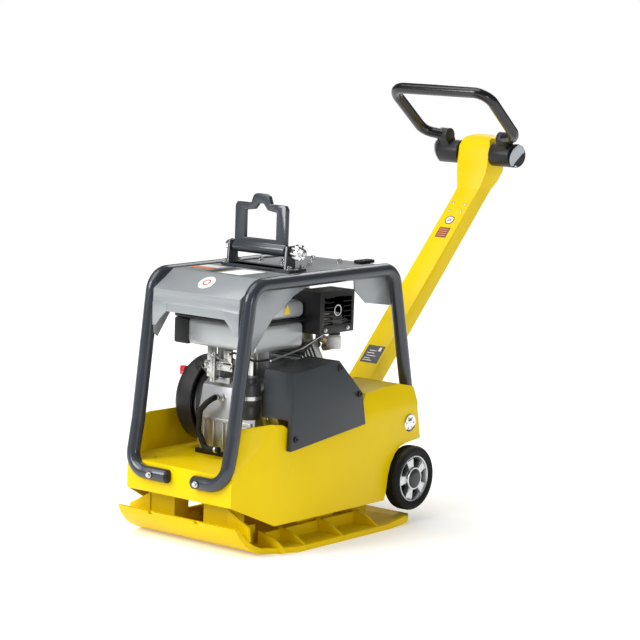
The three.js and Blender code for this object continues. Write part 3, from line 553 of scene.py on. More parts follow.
# ---------------------------------------------------------------- canopy
# Folded 3 mm sheet welded between the hoops: a sloping front with a down-turned flange, a flat top with a
# window under the lifting eye, and gussets in its corners. It carries two pads, some bolts and a disc.
# The canopy gets the frame's blue-grey paint made much lighter: a painted reflection of the white surround on
# its sloping front and top.
canopy_reflection_painted_coat = coated("canopy_reflection_painted_coat", (0.31, 0.33, 0.345), 0.34, metallic=0.25, coat=0.3, grain=1500, wave=50,
                     bump=0.06, drift=0.05, edge_wear_and_highlight=0.1, dust=0.08)
fitted(bench_copy("canopy", 0.0012, 2, 20), "canopy_sheet", "machine", canopy_reflection_painted_coat,
       stands_for=["canopy"])


def printed(name, color, rough=0.35):
    """A printed film: flat ink with faint flow marks."""
    return coated(name, color, rough, grain=1200, wave=90, bump=0.03, drift=0.06, dust=0.08)


white_film = printed("white_film", (0.85, 0.85, 0.84))
red_film = printed("red_film", (0.55, 0.03, 0.03))
orange_film = printed("orange_film", (0.80, 0.25, 0.05))
SLOPE = math.atan2(0.046, 0.072)
slope_normal = Vector((0, -math.sin(SLOPE), math.cos(SLOPE)))


def disc_on(place, normal, radius, thick, inner=0.0):
    """A thin disc or ring of film with a soft rim, lying on a face."""
    profile = [(inner, 0), (inner, thick), (radius - thick, thick), (radius, thick * 0.5), (radius, 0)]
    if inner:
        profile.append((inner, 0))
    piece = turned(profile, (0, 0, 0), "Z", 40)
    piece.rotation_euler = Vector(normal).to_track_quat("Z", "Y").to_euler()
    piece.location = place
    return piece


badge = Vector((0.0, -0.238, 0.659)) + slope_normal * 0.0003
fitted(disc_on(badge, slope_normal, 0.024, 0.0008), "canopy_disc", "machine", white_film)
badge_ring = disc_on(badge + slope_normal * 0.0006, slope_normal, 0.0115, 0.0006, 0.0080)
fitted(badge_ring, "canopy_disc_ring", "machine", red_film)


def film_on(low, high, normal, thick=0.0006):
    """A thin film between two corners of a flat face, standing off it along its normal."""
    first, last = Vector(low), Vector(high)
    way = Vector(normal) * thick
    bpy.ops.mesh.primitive_cube_add(size=1, location=(first + last + way) / 2)
    piece = bpy.context.object
    span = last - first + way
    piece.scale = [max(abs(c), thick) for c in span]
    bpy.ops.object.transform_apply(location=False, rotation=False, scale=True)
    return rounded(piece, thick * 0.3, 1)


SHEET_TOP = 0.6803
for name, near, far, lift, look, slot in (
        ("canopy_label_orange", -0.150, -0.122, 0.0003, orange_film, "red_plastic"),
        ("canopy_label_white", -0.118, -0.080, 0.0004, white_film, "milky_plastic")):
    film = film_on((-0.135, near, SHEET_TOP + lift), (-0.070, far, SHEET_TOP + lift), (0, 0, 1))
    fitted(film, name, "machine", look)
canopy_spots = ((-0.045, 0.110), (0.045, 0.110), (0.045, 0.235), (-0.045, 0.235), (-0.120, 0.110))
hex_bolts("canopy_bolts", "machine", chrome, 0.0065, 0.010,
          [((x, y, SHEET_TOP + 0.0003 + (y + 0.2) * 0.004), (0, 0, 1)) for x, y in canopy_spots])


def block(low, high, edge=0.001, segments=2):
    """A block between two corners with its edges broken."""
    first, last = Vector(low), Vector(high)
    bpy.ops.mesh.primitive_cube_add(size=1, location=(first + last) / 2)
    piece = bpy.context.object
    piece.scale = last - first
    bpy.ops.object.transform_apply(location=False, rotation=False, scale=True)
    return rounded(piece, edge, segments) if edge else piece


pad = block((0.074, 0.258, 0.6822), (0.100, 0.318, 0.6915), 0.003, 3)
ribs = [block((0.072, 0.266 + k * 0.013, 0.6822), (0.102, 0.270 + k * 0.013, 0.6895), 0.001)
        for k in range(4)]
fitted(joined([pad, *ribs]), "pole_rest_pad", "machine", black_rubber)

# ---------------------------------------------------------------- lifting eye
# A flame-cut bail folds on a chrome pin between two lugs welded to a base. The pin has a hexagon head on
# one end, and a lobed clamp nut on the other that holds the bail where it is put.
fitted(bench_copy("eye_base", 0.0012, 2), "eye_lugs", "machine", frame_coat,
       stands_for=["eye_base"])
fitted(bench_copy("lifting_bail", 0.0016, 3), "bail", "lifting_bail", frame_coat,
       stands_for=["lifting_bail"])
fitted(bench_copy("eye_pin", 0.0012, 2), "bail_pin", "machine", chrome, 30, stands_for=["eye_pin"])
EYE_Y, EYE_Z = -0.033, 0.733
fitted(turned([(0, 0.1412), (0.0085, 0.1412), (0.0085, 0.1445), (0.006, 0.1458), (0, 0.1458)],
              (0, EYE_Y, EYE_Z), "X", 24),
       "bail_pin_end", "machine", zinc)
fitted(turned([(0.0094, -0.0998), (0.0165, -0.0998), (0.0175, -0.0990), (0.0175, -0.0980), (0.0094, -0.0970)],
              (0, EYE_Y, EYE_Z), "X", 32), "bail_pin_washer", "machine", zinc)
hex_bolts("eye_base_bolts", "machine", zinc, 0.0068, 0.009,
          [((x, EYE_Y + y, 0.6892), (0, 0, 1)) for x in (-0.104, 0.110) for y in (-0.018, 0.032)])

# ---------------------------------------------------------------- engine block
# Die-cast aluminium crankcase and finned cylinder, left as cast, with ribs, bosses and flange screws. The
# oil filler sits low on the front, the rope starter on the left, and the drive leaves on the right.
cast_alloy = coated("cast_alloy", (0.52, 0.53, 0.54), 0.42, metallic=0.9, grain=850, wave=140, wave_share=0.5,
                    bump=0.3, drift=0.16, edge_wear_and_highlight=0.3, bare_and_highlight_colour=(0.8, 0.8, 0.8), dust=0.2)
fitted(bench_copy("engine_bed", 0.001), "engine_bed_plate", "machine", satin_black,
       stands_for=["engine_bed"])
fitted(bench_copy("engine_crankcase", 0.0035, 3, 20), "crankcase", "machine", cast_alloy,
       stands_for=["engine_crankcase"])
fitted(bench_copy("engine_cylinder", 0.0009, 2), "cylinder_fins", "machine", cast_alloy,
       stands_for=["engine_cylinder"])


CRANK_Y, CRANK_Z, SCREW_RING = -0.041, 0.328, 0.068
flange_spots = ((-0.088, 0.236), (0.078, 0.236), (-0.088, 0.322), (0.078, 0.322), (-0.030, 0.352),
                (0.030, 0.352))
side_spots = [(CRANK_Y + SCREW_RING * math.cos(2 * math.pi * k / 8 + 0.2),
               CRANK_Z + SCREW_RING * math.sin(2 * math.pi * k / 8 + 0.2)) for k in range(8)]


def casting_ribs():
    """Ribs, bosses and a cover flange that stand on the crankcase's front and right faces."""
    made = []
    for x in (-0.078, -0.046, -0.014, 0.018):
        made.append(block((x, -0.1502, 0.222), (x + 0.005, -0.138, 0.296), 0.0016))
    made.append(block((-0.094, -0.1520, 0.292), (0.084, -0.140, 0.302), 0.0025))
    for x, z in flange_spots:
        lean = -0.1395 + max(0, z - 0.300) * 0.225
        made.append(rod((x, lean + 0.012, z), (x, lean - 0.010, z), 0.0105, 24, 0.0015))
    made.append(rod((0.052, -0.128, 0.262), (0.052, -0.1525, 0.262), 0.019, 28, 0.002))
    for y, z in side_spots:
        made.append(rod((0.086, y, z), (0.1005, y, z), 0.0085, 20, 0.001))
    made.append(turned([(0.0585, 0.090), (0.0760, 0.090), (0.0760, 0.0965), (0.0745, 0.098), (0.0600, 0.098),
                        (0.0585, 0.0965), (0.0585, 0.090)], (0, CRANK_Y, CRANK_Z), "X", 48))
    made.append(block((-0.070, -0.118, 0.384), (-0.020, -0.060, 0.402), 0.003))
    return joined(made)


fitted(casting_ribs(), "crankcase_ribs", "machine", cast_alloy)
case_bolts = [((x, -0.1495 + max(0, z - 0.300) * 0.225, z), (0, -1, 0)) for x, z in flange_spots]
case_bolts += [((0.1003, y, z), (1, 0, 0)) for y, z in side_spots]
hex_bolts("crankcase_bolts", "machine", zinc, 0.0055, 0.0062, case_bolts)

# The spark plug and its rubber cap lean out of the cylinder head, and a lead runs back to the coil.
HEAD_TURN = math.radians(32)
lean_way = Vector((0, math.cos(HEAD_TURN), math.sin(HEAD_TURN)))
lean_side = Vector((0, -math.sin(HEAD_TURN), math.cos(HEAD_TURN)))
HEAD = Vector((-0.006, 0.076, 0.386)) + lean_way * 0.100
hex_bolts("head_bolts", "machine", zinc, 0.006, 0.008,
          [(HEAD + lean_way * 0.0095 + Vector((x, 0, 0)) + lean_side * s, lean_way)
           for x in (-0.046, 0.046) for s in (-0.034, 0.030)])
plug_foot = HEAD + lean_way * 0.009 + Vector((0.012, 0, 0))
fitted(rod(plug_foot, plug_foot + lean_way * 0.014, 0.0095, 6, 0.001), "spark_plug_hex", "machine", zinc)
plug_cap = [rod(plug_foot + lean_way * 0.012, plug_foot + lean_way * 0.044, 0.0105, 28, 0.003),
            rod(plug_foot + lean_way * 0.036, plug_foot + lean_way * 0.036 + Vector((-0.030, 0.004, 0.004)),
                0.007, 24, 0.002)]
fitted(joined(plug_cap), "spark_plug_cap", "machine", black_rubber)
lead_start = plug_foot + lean_way * 0.036 + Vector((-0.028, 0.004, 0.004))
fitted(bent_tube([lead_start, lead_start + Vector((-0.040, 0.002, 0.006)), (-0.120, 0.150, 0.440),
                  (-0.122, 0.060, 0.420), (-0.112, 0.040, 0.392)], 0.0035, 0.022, 8, 4), "plug_lead",
       "machine", black_rubber)

# ---------------------------------------------------------------- flywheel and crankshaft
# The forged crankshaft carries a cast flywheel whose vanes blow the cooling air, and drives the clutch.


def clocked(piece, angle):
    """Turns a piece round the X axis and sets it on the crankshaft's centre."""
    applied(piece)
    piece.rotation_euler = (angle, 0, 0)
    piece.location = (0, CRANK_Y, CRANK_Z)
    return piece


fan = [turned([(0.0, -0.150), (0.0125, -0.150), (0.0125, -0.147), (0.090, -0.147), (0.092, -0.145),
               (0.092, -0.126), (0.090, -0.122), (0.0125, -0.122), (0.0125, -0.081), (0.040, -0.080),
               (0.040, -0.066), (0.0125, -0.065), (0.0125, 0.053), (0.040, 0.054), (0.040, 0.068),
               (0.0125, 0.069), (0.0125, 0.2105), (0.011, 0.212), (0, 0.212)], (0, CRANK_Y, CRANK_Z), "X",
              48)]
for k in range(16):
    vane = block((-0.1605, -0.0015, 0.052), (-0.1465, 0.0015, 0.087), 0.0006, 1)
    fan.append(applied(clocked(vane, 2 * math.pi * k / 16)))
fitted(joined(fan), "crank_and_flywheel", "crank", bare_steel, 30, stands_for=["crankshaft"])

# ---------------------------------------------------------------- belt drive
# A centrifugal clutch pulley on the engine drives the exciter's pulley through one V-belt.


def grooved(radius, width, flange, centre, bore):
    """A V-belt pulley turned from the solid, with its groove and a thin web."""
    half = width / 2 + flange
    web = 0.004
    return turned([(bore, -half), (bore + 0.010, -half), (bore + 0.011, -web), (radius - 0.014, -web),
                   (radius - 0.012, -half), (radius, -half), (radius, -width / 2 - 0.0004),
                   (radius - 0.009, -width / 2 + 0.004), (radius - 0.009, width / 2 - 0.004),
                   (radius, width / 2 + 0.0004), (radius, half), (radius - 0.012, half),
                   (radius - 0.014, web), (bore + 0.011, web), (bore + 0.010, half), (bore, half),
                   (bore, -half)],
                  centre, "X", 48)


fitted(grooved(0.036, 0.018, 0.003, (0.195, 0.005, 0.105), 0.0128), "driven_pulley", "eccentric_front",
       bare_steel, 30, stands_for=["exciter_pulley"])
clutch = [grooved(0.054, 0.018, 0.003, (0.195, CRANK_Y, CRANK_Z), 0.0128),
          turned([(0.0128, 0.160), (0.046, 0.160), (0.048, 0.162), (0.048, 0.1825), (0.0128, 0.1825),
                  (0.0128, 0.160)],
                 (0, CRANK_Y, CRANK_Z), "X", 48)]
fitted(joined(clutch), "clutch_drum", "crank", bare_steel, 30, stands_for=["clutch_pulley"])
fitted(bench_copy("v_belt", 0.0012, 2, 40), "drive_belt", "machine", black_rubber,
       stands_for=["v_belt"])

# ---------------------------------------------------------------- rope starter
# A pressed steel housing over the flywheel with a slotted face, painted black. Its rope ends in a moulded
# grip that the spring pulls back against the housing. The stop switch is clipped to its rim.
shell = turned([(0.0, -0.1905), (0.034, -0.1920), (0.040, -0.1905), (0.044, -0.1870), (0.060, -0.1870),
                (0.064, -0.1900), (0.070, -0.1912), (0.094, -0.1865), (0.106, -0.1780), (0.1135, -0.1680),
                (0.1150, -0.1600), (0.1150, -0.1215), (0.1138, -0.1197), (0.1095, -0.1197), (0.1088, -0.1210),
                (0.1088, -0.1600), (0.1000, -0.1740), (0.0900, -0.1800), (0.040, -0.1830), (0.0, -0.1830)],
               (0, CRANK_Y, CRANK_Z), "X", 64)
applied(shell)
slots = [clocked(block((-0.20, -0.0036, 0.071), (-0.165, 0.0036, 0.100), 0.0015), 2 * math.pi * k / 14)
         for k in range(14)]
rope_hole = rod((-0.200, 0.030, 0.405), (-0.150, 0.030, 0.405), 0.0065, 20)
floor_cut = block((-0.130, -0.20, 0.190), (-0.090, 0.12, 0.215), 0)
fitted(drilled(shell, [joined(slots), rope_hole, floor_cut]), "starter_housing", "machine", satin_black,
       30, stands_for=["recoil_cover"])
hex_bolts("starter_bolts", "machine", zinc, 0.0045, 0.005,
          [((-0.1872, CRANK_Y + 0.052 * math.cos(a), CRANK_Z + 0.052 * math.sin(a)), (-1, 0, 0))
           for a in (0.5, 2.6, 4.7)])
grip = [block((-0.2125, 0.0005, 0.3970), (-0.1985, 0.0595, 0.4130), 0.0045, 4),
        rod((-0.1990, 0.030, 0.405), (-0.1715, 0.030, 0.405), 0.0048, 20, 0.001)]
fitted(joined(grip), "starter_grip", "recoil_grip", satin_black, stands_for=["recoil_grip"])
switch_red = coated("switch_red", (0.62, 0.012, 0.03), 0.25, coat=0.4, grain=500, bump=0.03, drift=0.05,
                    dust=0)
knob = [turned([(0.0, -0.2058), (0.0105, -0.2058), (0.0126, -0.2040), (0.0130, -0.2000), (0.0130, -0.1900),
                (0, -0.1898)], (0, -0.092, 0.398), "X", 36),
        block((-0.2122, -0.0958, 0.3862), (-0.2050, -0.0882, 0.4098), 0.0016, 3)]
fitted(joined(knob), "stop_switch", "engine_switch", switch_red, stands_for=["engine_switch"])

# ---------------------------------------------------------------- fuel tank
# Two deep-drawn steel shells meet at a rolled seam over the engine. The lower shell is silver grey, a
# black plastic guard wraps its left corner, and the filler has a ribbed black cap.
tank_low, tank_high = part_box("fuel_tank")
silver_coat = coated("silver_coat", (0.46, 0.48, 0.49), 0.3, metallic=0.35, coat=0.3, grain=900, bump=0.05,
                     drift=0.05, dust=0.1)


def soft_box(low, high, corner, edge, corner_steps=8, edge_steps=6):
    """A drawn shell: upright corners of a large radius, then its top and bottom rims rolled over."""
    piece = applied(block(low, high, 0))
    for upright, width, steps in ((True, corner, corner_steps), (False, edge, edge_steps)):
        bpy.ops.object.mode_set(mode="EDIT")
        mesh = bmesh.from_edit_mesh(piece.data)
        for item in mesh.edges:
            rise = abs(item.verts[0].co.z - item.verts[1].co.z)
            level = min(abs(item.verts[0].co.z - z) for z in (low[2], high[2])) < 1e-5
            item.select = rise > 0.5 * (high[2] - low[2]) if upright else (rise < 1e-5 and level)
        mesh.select_flush(False)
        bmesh.update_edit_mesh(piece.data)
        bpy.ops.mesh.bevel(offset=width, segments=steps, affect="EDGES")
        bpy.ops.object.mode_set(mode="OBJECT")
    return piece


SEAM = (0.556, 0.566)
left, near = tank_low.x + 0.004, tank_low.y + 0.004
right, far = tank_high.x - 0.004, tank_high.y - 0.004
tray = soft_box((left, near, 0.4885), (right, far, 0.5575), 0.026, 0.014)
upper = soft_box((left, near, 0.5645), (right, far, 0.6135), 0.026, 0.018)
neck = rod((-0.009, -0.120, 0.600), (-0.009, -0.120, 0.6236), 0.0238, 40, 0.001)
fitted(joined([tray, upper, neck]), "tank_shells", "machine", silver_coat, 40,
       stands_for=["fuel_tank"])
seam = soft_box((tank_low.x, tank_low.y, SEAM[0]), (tank_high.x, tank_high.y, SEAM[1]), 0.030, 0.0035, 8, 3)
fitted(seam, "tank_seam", "machine", satin_black, 40)
guard = soft_box((tank_low.x, tank_low.y + 0.0005, 0.4880), (tank_low.x + 0.046, tank_low.y + 0.060, 0.5555),
                 0.020, 0.006)
fitted(guard, "tank_corner_guard", "machine", satin_black, 40)
cap_low, cap_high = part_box("fuel_cap")
cap_middle = (cap_low + cap_high) / 2
ridges = [turned([(0.0252, 0.6185), (0.031, 0.6185), (0.0325, 0.620), (0.0325, 0.6335), (0.0300, 0.6375),
                  (0.022, 0.6395), (0, 0.6400), (0, 0.6250), (0.0252, 0.6250), (0.0252, 0.6185)],
                 (cap_middle.x, cap_middle.y, 0), "Z", 48)]
for k in range(12):
    angle = 2 * math.pi * k / 12
    x, y = cap_middle.x + 0.0305 * math.cos(angle), cap_middle.y + 0.0305 * math.sin(angle)
    ridges.append(rod((x, y, 0.6195), (x, y, 0.6350), 0.0026, 12, 0.0006))
fitted(joined(ridges), "filler_cap", "fuel_cap", satin_black, 40, stands_for=["fuel_cap"])
yellow_film = printed("yellow_film", (0.85, 0.62, 0.02))
bpy.ops.mesh.primitive_cylinder_add(vertices=3, radius=0.017, depth=0.0007,
                                    location=(tank_high.x - 0.0040 + 0.0004, -0.075, 0.588),
                                    rotation=(math.pi / 2, 0, math.pi / 2))
fitted(rounded(bpy.context.object, 0.0002, 1), "tank_label", "machine", yellow_film)

# ---------------------------------------------------------------- air cleaner and carburettor
# A moulded filter box with a clip-on lid stands behind the tank, on an alloy carburettor whose throttle
# and choke plates are worked by small steel levers, links and springs.
air_low, air_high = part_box("air_cleaner")
box_parts = [soft_box(air_low + Vector((0.002, 0.002, 0)), (air_high.x - 0.002, air_high.y - 0.002, 0.586),
                      0.018, 0.004),
             soft_box((air_low.x, air_low.y, 0.588), air_high, 0.020, 0.010)]
for k in range(7):
    x = air_low.x + 0.030 + k * 0.015
    box_parts.append(block((x, air_low.y, 0.530), (x + 0.005, air_low.y + 0.004, 0.575), 0.001))
for y in (air_low.y + 0.035, air_high.y - 0.035):
    box_parts.append(block((air_high.x - 0.003, y, 0.566), (air_high.x + 0.0010, y + 0.020, 0.606), 0.001))
fitted(joined(box_parts), "filter_box", "machine", satin_black, 40,
       stands_for=["air_cleaner"])

carb_low, carb_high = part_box("carburettor")
carb = [block((carb_low.x + 0.002, 0.030, 0.458), (carb_high.x - 0.002, 0.064, 0.506), 0.005, 4),
        rod((-0.037, 0.0125, 0.478), (-0.037, 0.0300, 0.478), 0.0158, 32, 0.001),
        rod((-0.037, 0.047, 0.4525), (-0.037, 0.047, 0.459), 0.013, 28, 0.002),
        block((carb_low.x, 0.028, 0.500), (carb_high.x, 0.066, 0.5112), 0.0015),
        rod((-0.0625, 0.040, 0.494), (-0.050, 0.040, 0.494), 0.0035, 16, 0.0005)]
fitted(joined(carb), "carburettor_body", "machine", cast_alloy, stands_for=["carburettor"])
hex_bolts("carburettor_screws", "machine", zinc, 0.0032, 0.0035,
          [((x, 0.0302, z), (0, -1, 0)) for x in (-0.058, -0.016) for z in (0.464, 0.492)])
for node, piece_name in (("throttle_lever", "throttle_arm"), ("choke_lever", "choke_arm")):
    fitted(bench_copy(node, 0.0006), piece_name, node, zinc, stands_for=[node])

# ---------------------------------------------------------------- exhaust
# A pressed steel silencer on a bent pipe, inside a louvred sheet guard that keeps hands off the heat. The
# guard is stove enamelled black; the pipe and silencer have gone straw and grey from heat.
heated_steel = coated("heated_steel", (0.38, 0.33, 0.28), 0.42, metallic=1.0, drift=0.3, grain=500, wave=40,
                      bump=0.1, dust=0.2)
fitted(bench_copy("muffler", 0.0016, 2), "silencer", "machine", heated_steel, stands_for=["muffler"])
fitted(bench_copy("muffler_guard", 0.0009, 2), "silencer_guard", "machine", satin_black,
       stands_for=["muffler_guard"])
guard_low, guard_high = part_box("muffler_guard")
hex_bolts("guard_bolts", "machine", zinc, 0.0042, 0.0035,
          [((guard_high.x, y, guard_low.z + 0.010), (1, 0, 0))
           for y in (guard_low.y + 0.024, guard_high.y - 0.024)])
lips = []
for row in range(6):
    for y in (0.010, 0.084):
        z = guard_low.z + 0.028 + row * 0.013
        lip = block((guard_high.x - 0.0016, y + 0.001, z - 0.0004),
                    (guard_high.x + 0.0030, y + 0.035, z + 0.0008), 0.0003, 1)
        lips.append(lip)
fitted(joined(lips), "guard_louvres", "machine", satin_black)
rim = turned([(0.0112, 0.1775), (0.0160, 0.1775), (0.0160, 0.1790), (0.0145, 0.1802), (0.0122, 0.1802),
              (0.0112, 0.1790), (0.0112, 0.1775)], (0, 0.065, 0.585), "X", 36)
fitted(rim, "exhaust_outlet_rim", "machine", zinc)

# ---------------------------------------------------------------- small engine fittings
# The oil filler's plug, the breather drum, its hose, the throttle's control rod and the milky bottle that
# shows the level of the hydraulic oil, with a black screw lid.
dip = [turned([(0, -0.1675), (0.009, -0.1675), (0.014, -0.1655), (0.0165, -0.1625), (0.0165, -0.1535),
               (0.0150, -0.1515), (0.0105, -0.1515), (0.0105, -0.1125), (0, -0.1125)], (0.052, 0, 0.262), "Y",
              36),
       block((0.0400, -0.1682, 0.2590), (0.0640, -0.1620, 0.2650), 0.0018, 3)]
fitted(joined(dip), "oil_plug", "oil_dipstick", satin_black, 40, stands_for=["oil_dipstick"])
drum = [turned([(0, 0.3225), (0.030, 0.3225), (0.0328, 0.3255), (0.0328, 0.3520), (0.0318, 0.3535),
                (0.0318, 0.3565), (0.0328, 0.3580), (0.0328, 0.4080), (0.0300, 0.4130), (0.0245, 0.4145),
                (0.0238, 0.4180), (0.0238, 0.4250), (0.0220, 0.4278), (0, 0.4278)], (0.098, -0.182, 0), "Z",
               56),
        block((0.0745, -0.160, 0.352), (0.0895, -0.1425, 0.398), 0.002)]
dark_plastic = coated("dark_plastic", (0.030, 0.031, 0.034), 0.33, grain=900, wave=30, bump=0.08, drift=0.15,
                      dust=0.15)
fitted(joined(drum), "breather_drum", "machine", dark_plastic, 40,
       stands_for=["breather_canister"])
clamp = turned([(0.0329, 0.372), (0.0338, 0.3722), (0.0338, 0.3818), (0.0329, 0.382), (0.0329, 0.372)],
               (0.098, -0.182, 0), "Z", 56)
fitted(clamp, "breather_clamp", "machine", zinc)
hose_route = [(-0.034, -0.1465, 0.356), (-0.034, -0.176, 0.352), (-0.064, -0.178, 0.322),
              (-0.070, -0.176, 0.266), (-0.046, -0.174, 0.222), (-0.002, -0.172, 0.226)]
fitted(bent_tube(hose_route, 0.0075, 0.022, 10, 8), "breather_hose", "machine", black_rubber, 50,
       stands_for=["drain_hose"])
for label, place, axis in (("upper", (-0.034, -0.153, 0.3556), (0, -1, 0)),
                           ("lower", (-0.012, -0.1725, 0.2251), (1, 0.045, 0.09))):
    band = turned([(0.0076, -0.003), (0.0086, -0.003), (0.0086, 0.003), (0.0076, 0.003), (0.0076, -0.003)],
                  (0, 0, 0), "Z", 32)
    screw = rod((0.0085, -0.004, 0), (0.0085, 0.005, 0), 0.0022, 12, 0.0003)
    ring = joined([band, screw])
    ring.rotation_euler = Vector(axis).to_track_quat("Z", "Y").to_euler()
    ring.location = place
    fitted(ring, "hose_clip_" + label, "machine", zinc)
rod_route = [(0.148, -0.158, 0.472), (0.150, -0.040, 0.492), (0.150, 0.060, 0.5265)]
fitted(bent_tube(rod_route, 0.0025, 0.02, 6, 5), "throttle_rod", "machine", zinc,
       stands_for=["control_rod"])
milky = coated("milky_bottle", (0.72, 0.73, 0.70), 0.35, grain=500, bump=0.05, drift=0.05, dust=0.1)
bottle_low, bottle_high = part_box("fluid_reservoir")
bottle_x, bottle_y = (bottle_low.x + bottle_high.x) / 2, (bottle_low.y + bottle_high.y) / 2
fitted(turned([(0, 0.4785), (0.0165, 0.4785), (0.0186, 0.4805), (0.0186, 0.4920), (0.0178, 0.4935),
               (0.0178, 0.4965), (0.0186, 0.4980), (0.0186, 0.5075), (0.0160, 0.5115), (0.0135, 0.5125),
               (0.0135, 0.5150), (0, 0.5150)],
              (bottle_x, bottle_y, 0), "Z", 40), "oil_bottle", "machine", milky, 50,
       stands_for=["fluid_reservoir"])
fitted(turned([(0, 0.5140), (0.0150, 0.5140), (0.0155, 0.5148), (0.0155, 0.5188), (0.0140, 0.5198),
               (0, 0.5198)],
              (bottle_x, bottle_y, 0), "Z", 32), "oil_bottle_lid", "machine", satin_black,
       50)

# ---------------------------------------------------------------- governor and controls on the engine front
# Pressed plates, a governor arm with its spring and link, a cable and small screws between tank and block.
arm = [block((-0.060, -0.1490, 0.392), (-0.045, -0.1455, 0.470), 0.0010),
       rod((-0.0525, -0.152, 0.400), (-0.0525, -0.128, 0.400), 0.0045, 20, 0.0006),
       rod((-0.0525, -0.151, 0.462), (-0.0525, -0.143, 0.462), 0.0040, 20, 0.0006),
       block((-0.084, -0.1440, 0.424), (0.010, -0.1415, 0.446), 0.0010),
       block((-0.020, -0.1440, 0.440), (0.006, -0.1415, 0.476), 0.0010),
       block((-0.088, -0.1300, 0.400), (-0.070, -0.1120, 0.480), 0.0015),
       block((0.052, -0.1300, 0.400), (0.068, -0.1120, 0.482), 0.0015)]
fitted(joined(arm), "governor_plates", "machine", zinc)
hex_bolts("governor_screws", "machine", zinc, 0.0042, 0.0045,
          [((x, -0.1440, z), (0, -1, 0)) for x,
           z in ((-0.078, 0.435), (-0.030, 0.435), (0.000, 0.468), (0.004, 0.433))])


def coil_spring(start, end, radius, wire, turns):
    """A drawn wire spring between two points, with straight tails."""
    first, last = Vector(start), Vector(end)
    way = (last - first).normalized()
    side = way.orthogonal().normalized()
    points = [first]
    steps = turns * 10
    for k in range(steps + 1):
        share = 0.12 + 0.76 * k / steps
        spoke = Matrix.Rotation(2 * math.pi * turns * k / steps, 3, way) @ side * radius
        points.append(first.lerp(last, share) + spoke)
    points.append(last)
    return bent_tube(points, wire, 0.0, 1, 2)


fitted(joined([coil_spring((-0.050, -0.1470, 0.462), (0.000, -0.1470, 0.445), 0.0035, 0.0007, 9),
               coil_spring((-0.0525, -0.1485, 0.405), (-0.088, -0.1485, 0.430), 0.003, 0.0006, 8)]),
       "governor_springs", "machine", zinc, 60)
fitted(bent_tube([(-0.070, 0.030, 0.500), (-0.086, -0.040, 0.486), (-0.086, -0.120, 0.480),
                  (-0.0525, -0.1455, 0.464)],
                 0.0013, 0.02, 6, 3), "governor_link", "machine", zinc, 60)
fitted(bent_tube([(0.004, -0.1460, 0.470), (0.020, -0.150, 0.476), (0.090, -0.150, 0.462),
                  (0.124, -0.120, 0.470), (0.146, -0.150, 0.4715)], 0.0030, 0.022, 8, 5), "throttle_cable",
       "machine", black_rubber, 60)
fitted(bent_tube([(-0.190, -0.078, 0.398), (-0.150, -0.110, 0.425), (-0.110, -0.146, 0.420),
                  (-0.086, -0.146, 0.432)],
                 0.0024, 0.03, 8, 5), "switch_lead", "machine", black_rubber, 60)
fitted(bent_tube([(-0.020, -0.060, 0.4880), (-0.020, -0.060, 0.470), (-0.030, 0.010, 0.462),
                  (-0.037, 0.034, 0.470)],
                 0.0035, 0.014, 8, 5), "fuel_pipe", "machine", black_rubber, 60)

# ---------------------------------------------------------------- belt cover
# A moulded cover with a bevelled hood encloses the belt on the right. It is charcoal plastic with a fine
# spark-eroded grain, held by black socket screws.
cover_plastic = coated("cover_plastic", (0.034, 0.040, 0.046), 0.4, glare=0.35, grain=1300, wave=400,
                       wave_share=0.4, bump=0.22, drift=0.08, edge_wear_and_highlight=0.1, bare_and_highlight_colour=(0.12, 0.12, 0.13), dust=0.12)
fitted(bench_copy("belt_cover", 0.0018, 3, 15), "belt_hood", "machine", cover_plastic,
       stands_for=["belt_cover"])
_, hood_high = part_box("belt_cover")
for k, (y, z) in enumerate(((0.012, 0.4485), (0.0965, 0.372), (-0.156, 0.285))):
    head = turned([(0.0035, 0.0008), (0.0035, 0.0046), (0.0066, 0.0046), (0.0072, 0.0038), (0.0072, 0.0002),
                   (0.0095, 0.0002), (0.0095, -0.0006), (0, -0.0006), (0, 0.0008), (0.0035, 0.0008)],
                  (hood_high.x, y, z), "X", 28)
    fitted(head, "hood_screw_%d" % (k + 1), "machine", satin_black)

# ---------------------------------------------------------------- wheels
# Two solid rubber tyres on cast five-spoke rims run on the rear axle, for pushing the machine when its
# plate is lifted. Each has a grooved tread, a dark disc behind its spokes and a seat round its hub cap.
WHEEL_Y, WHEEL_Z = 0.345, 0.118
tyre_rubber = coated("tyre_rubber", (0.007, 0.007, 0.008), 0.66, grain=700, wave=200, bump=0.15, drift=0.3,
                     dust=0.2, glare=0.25)
rim_alloy = coated("rim_alloy", (0.66, 0.67, 0.68), 0.28, metallic=0.9, coat=0.2, grain=700, bump=0.06,
                   drift=0.08, dust=0.15)


def wheel_profile(points, side):
    """A profile on one side of the machine, from points of (radius, distance from the middle)."""
    return [(r, side * x) for r, x in points]


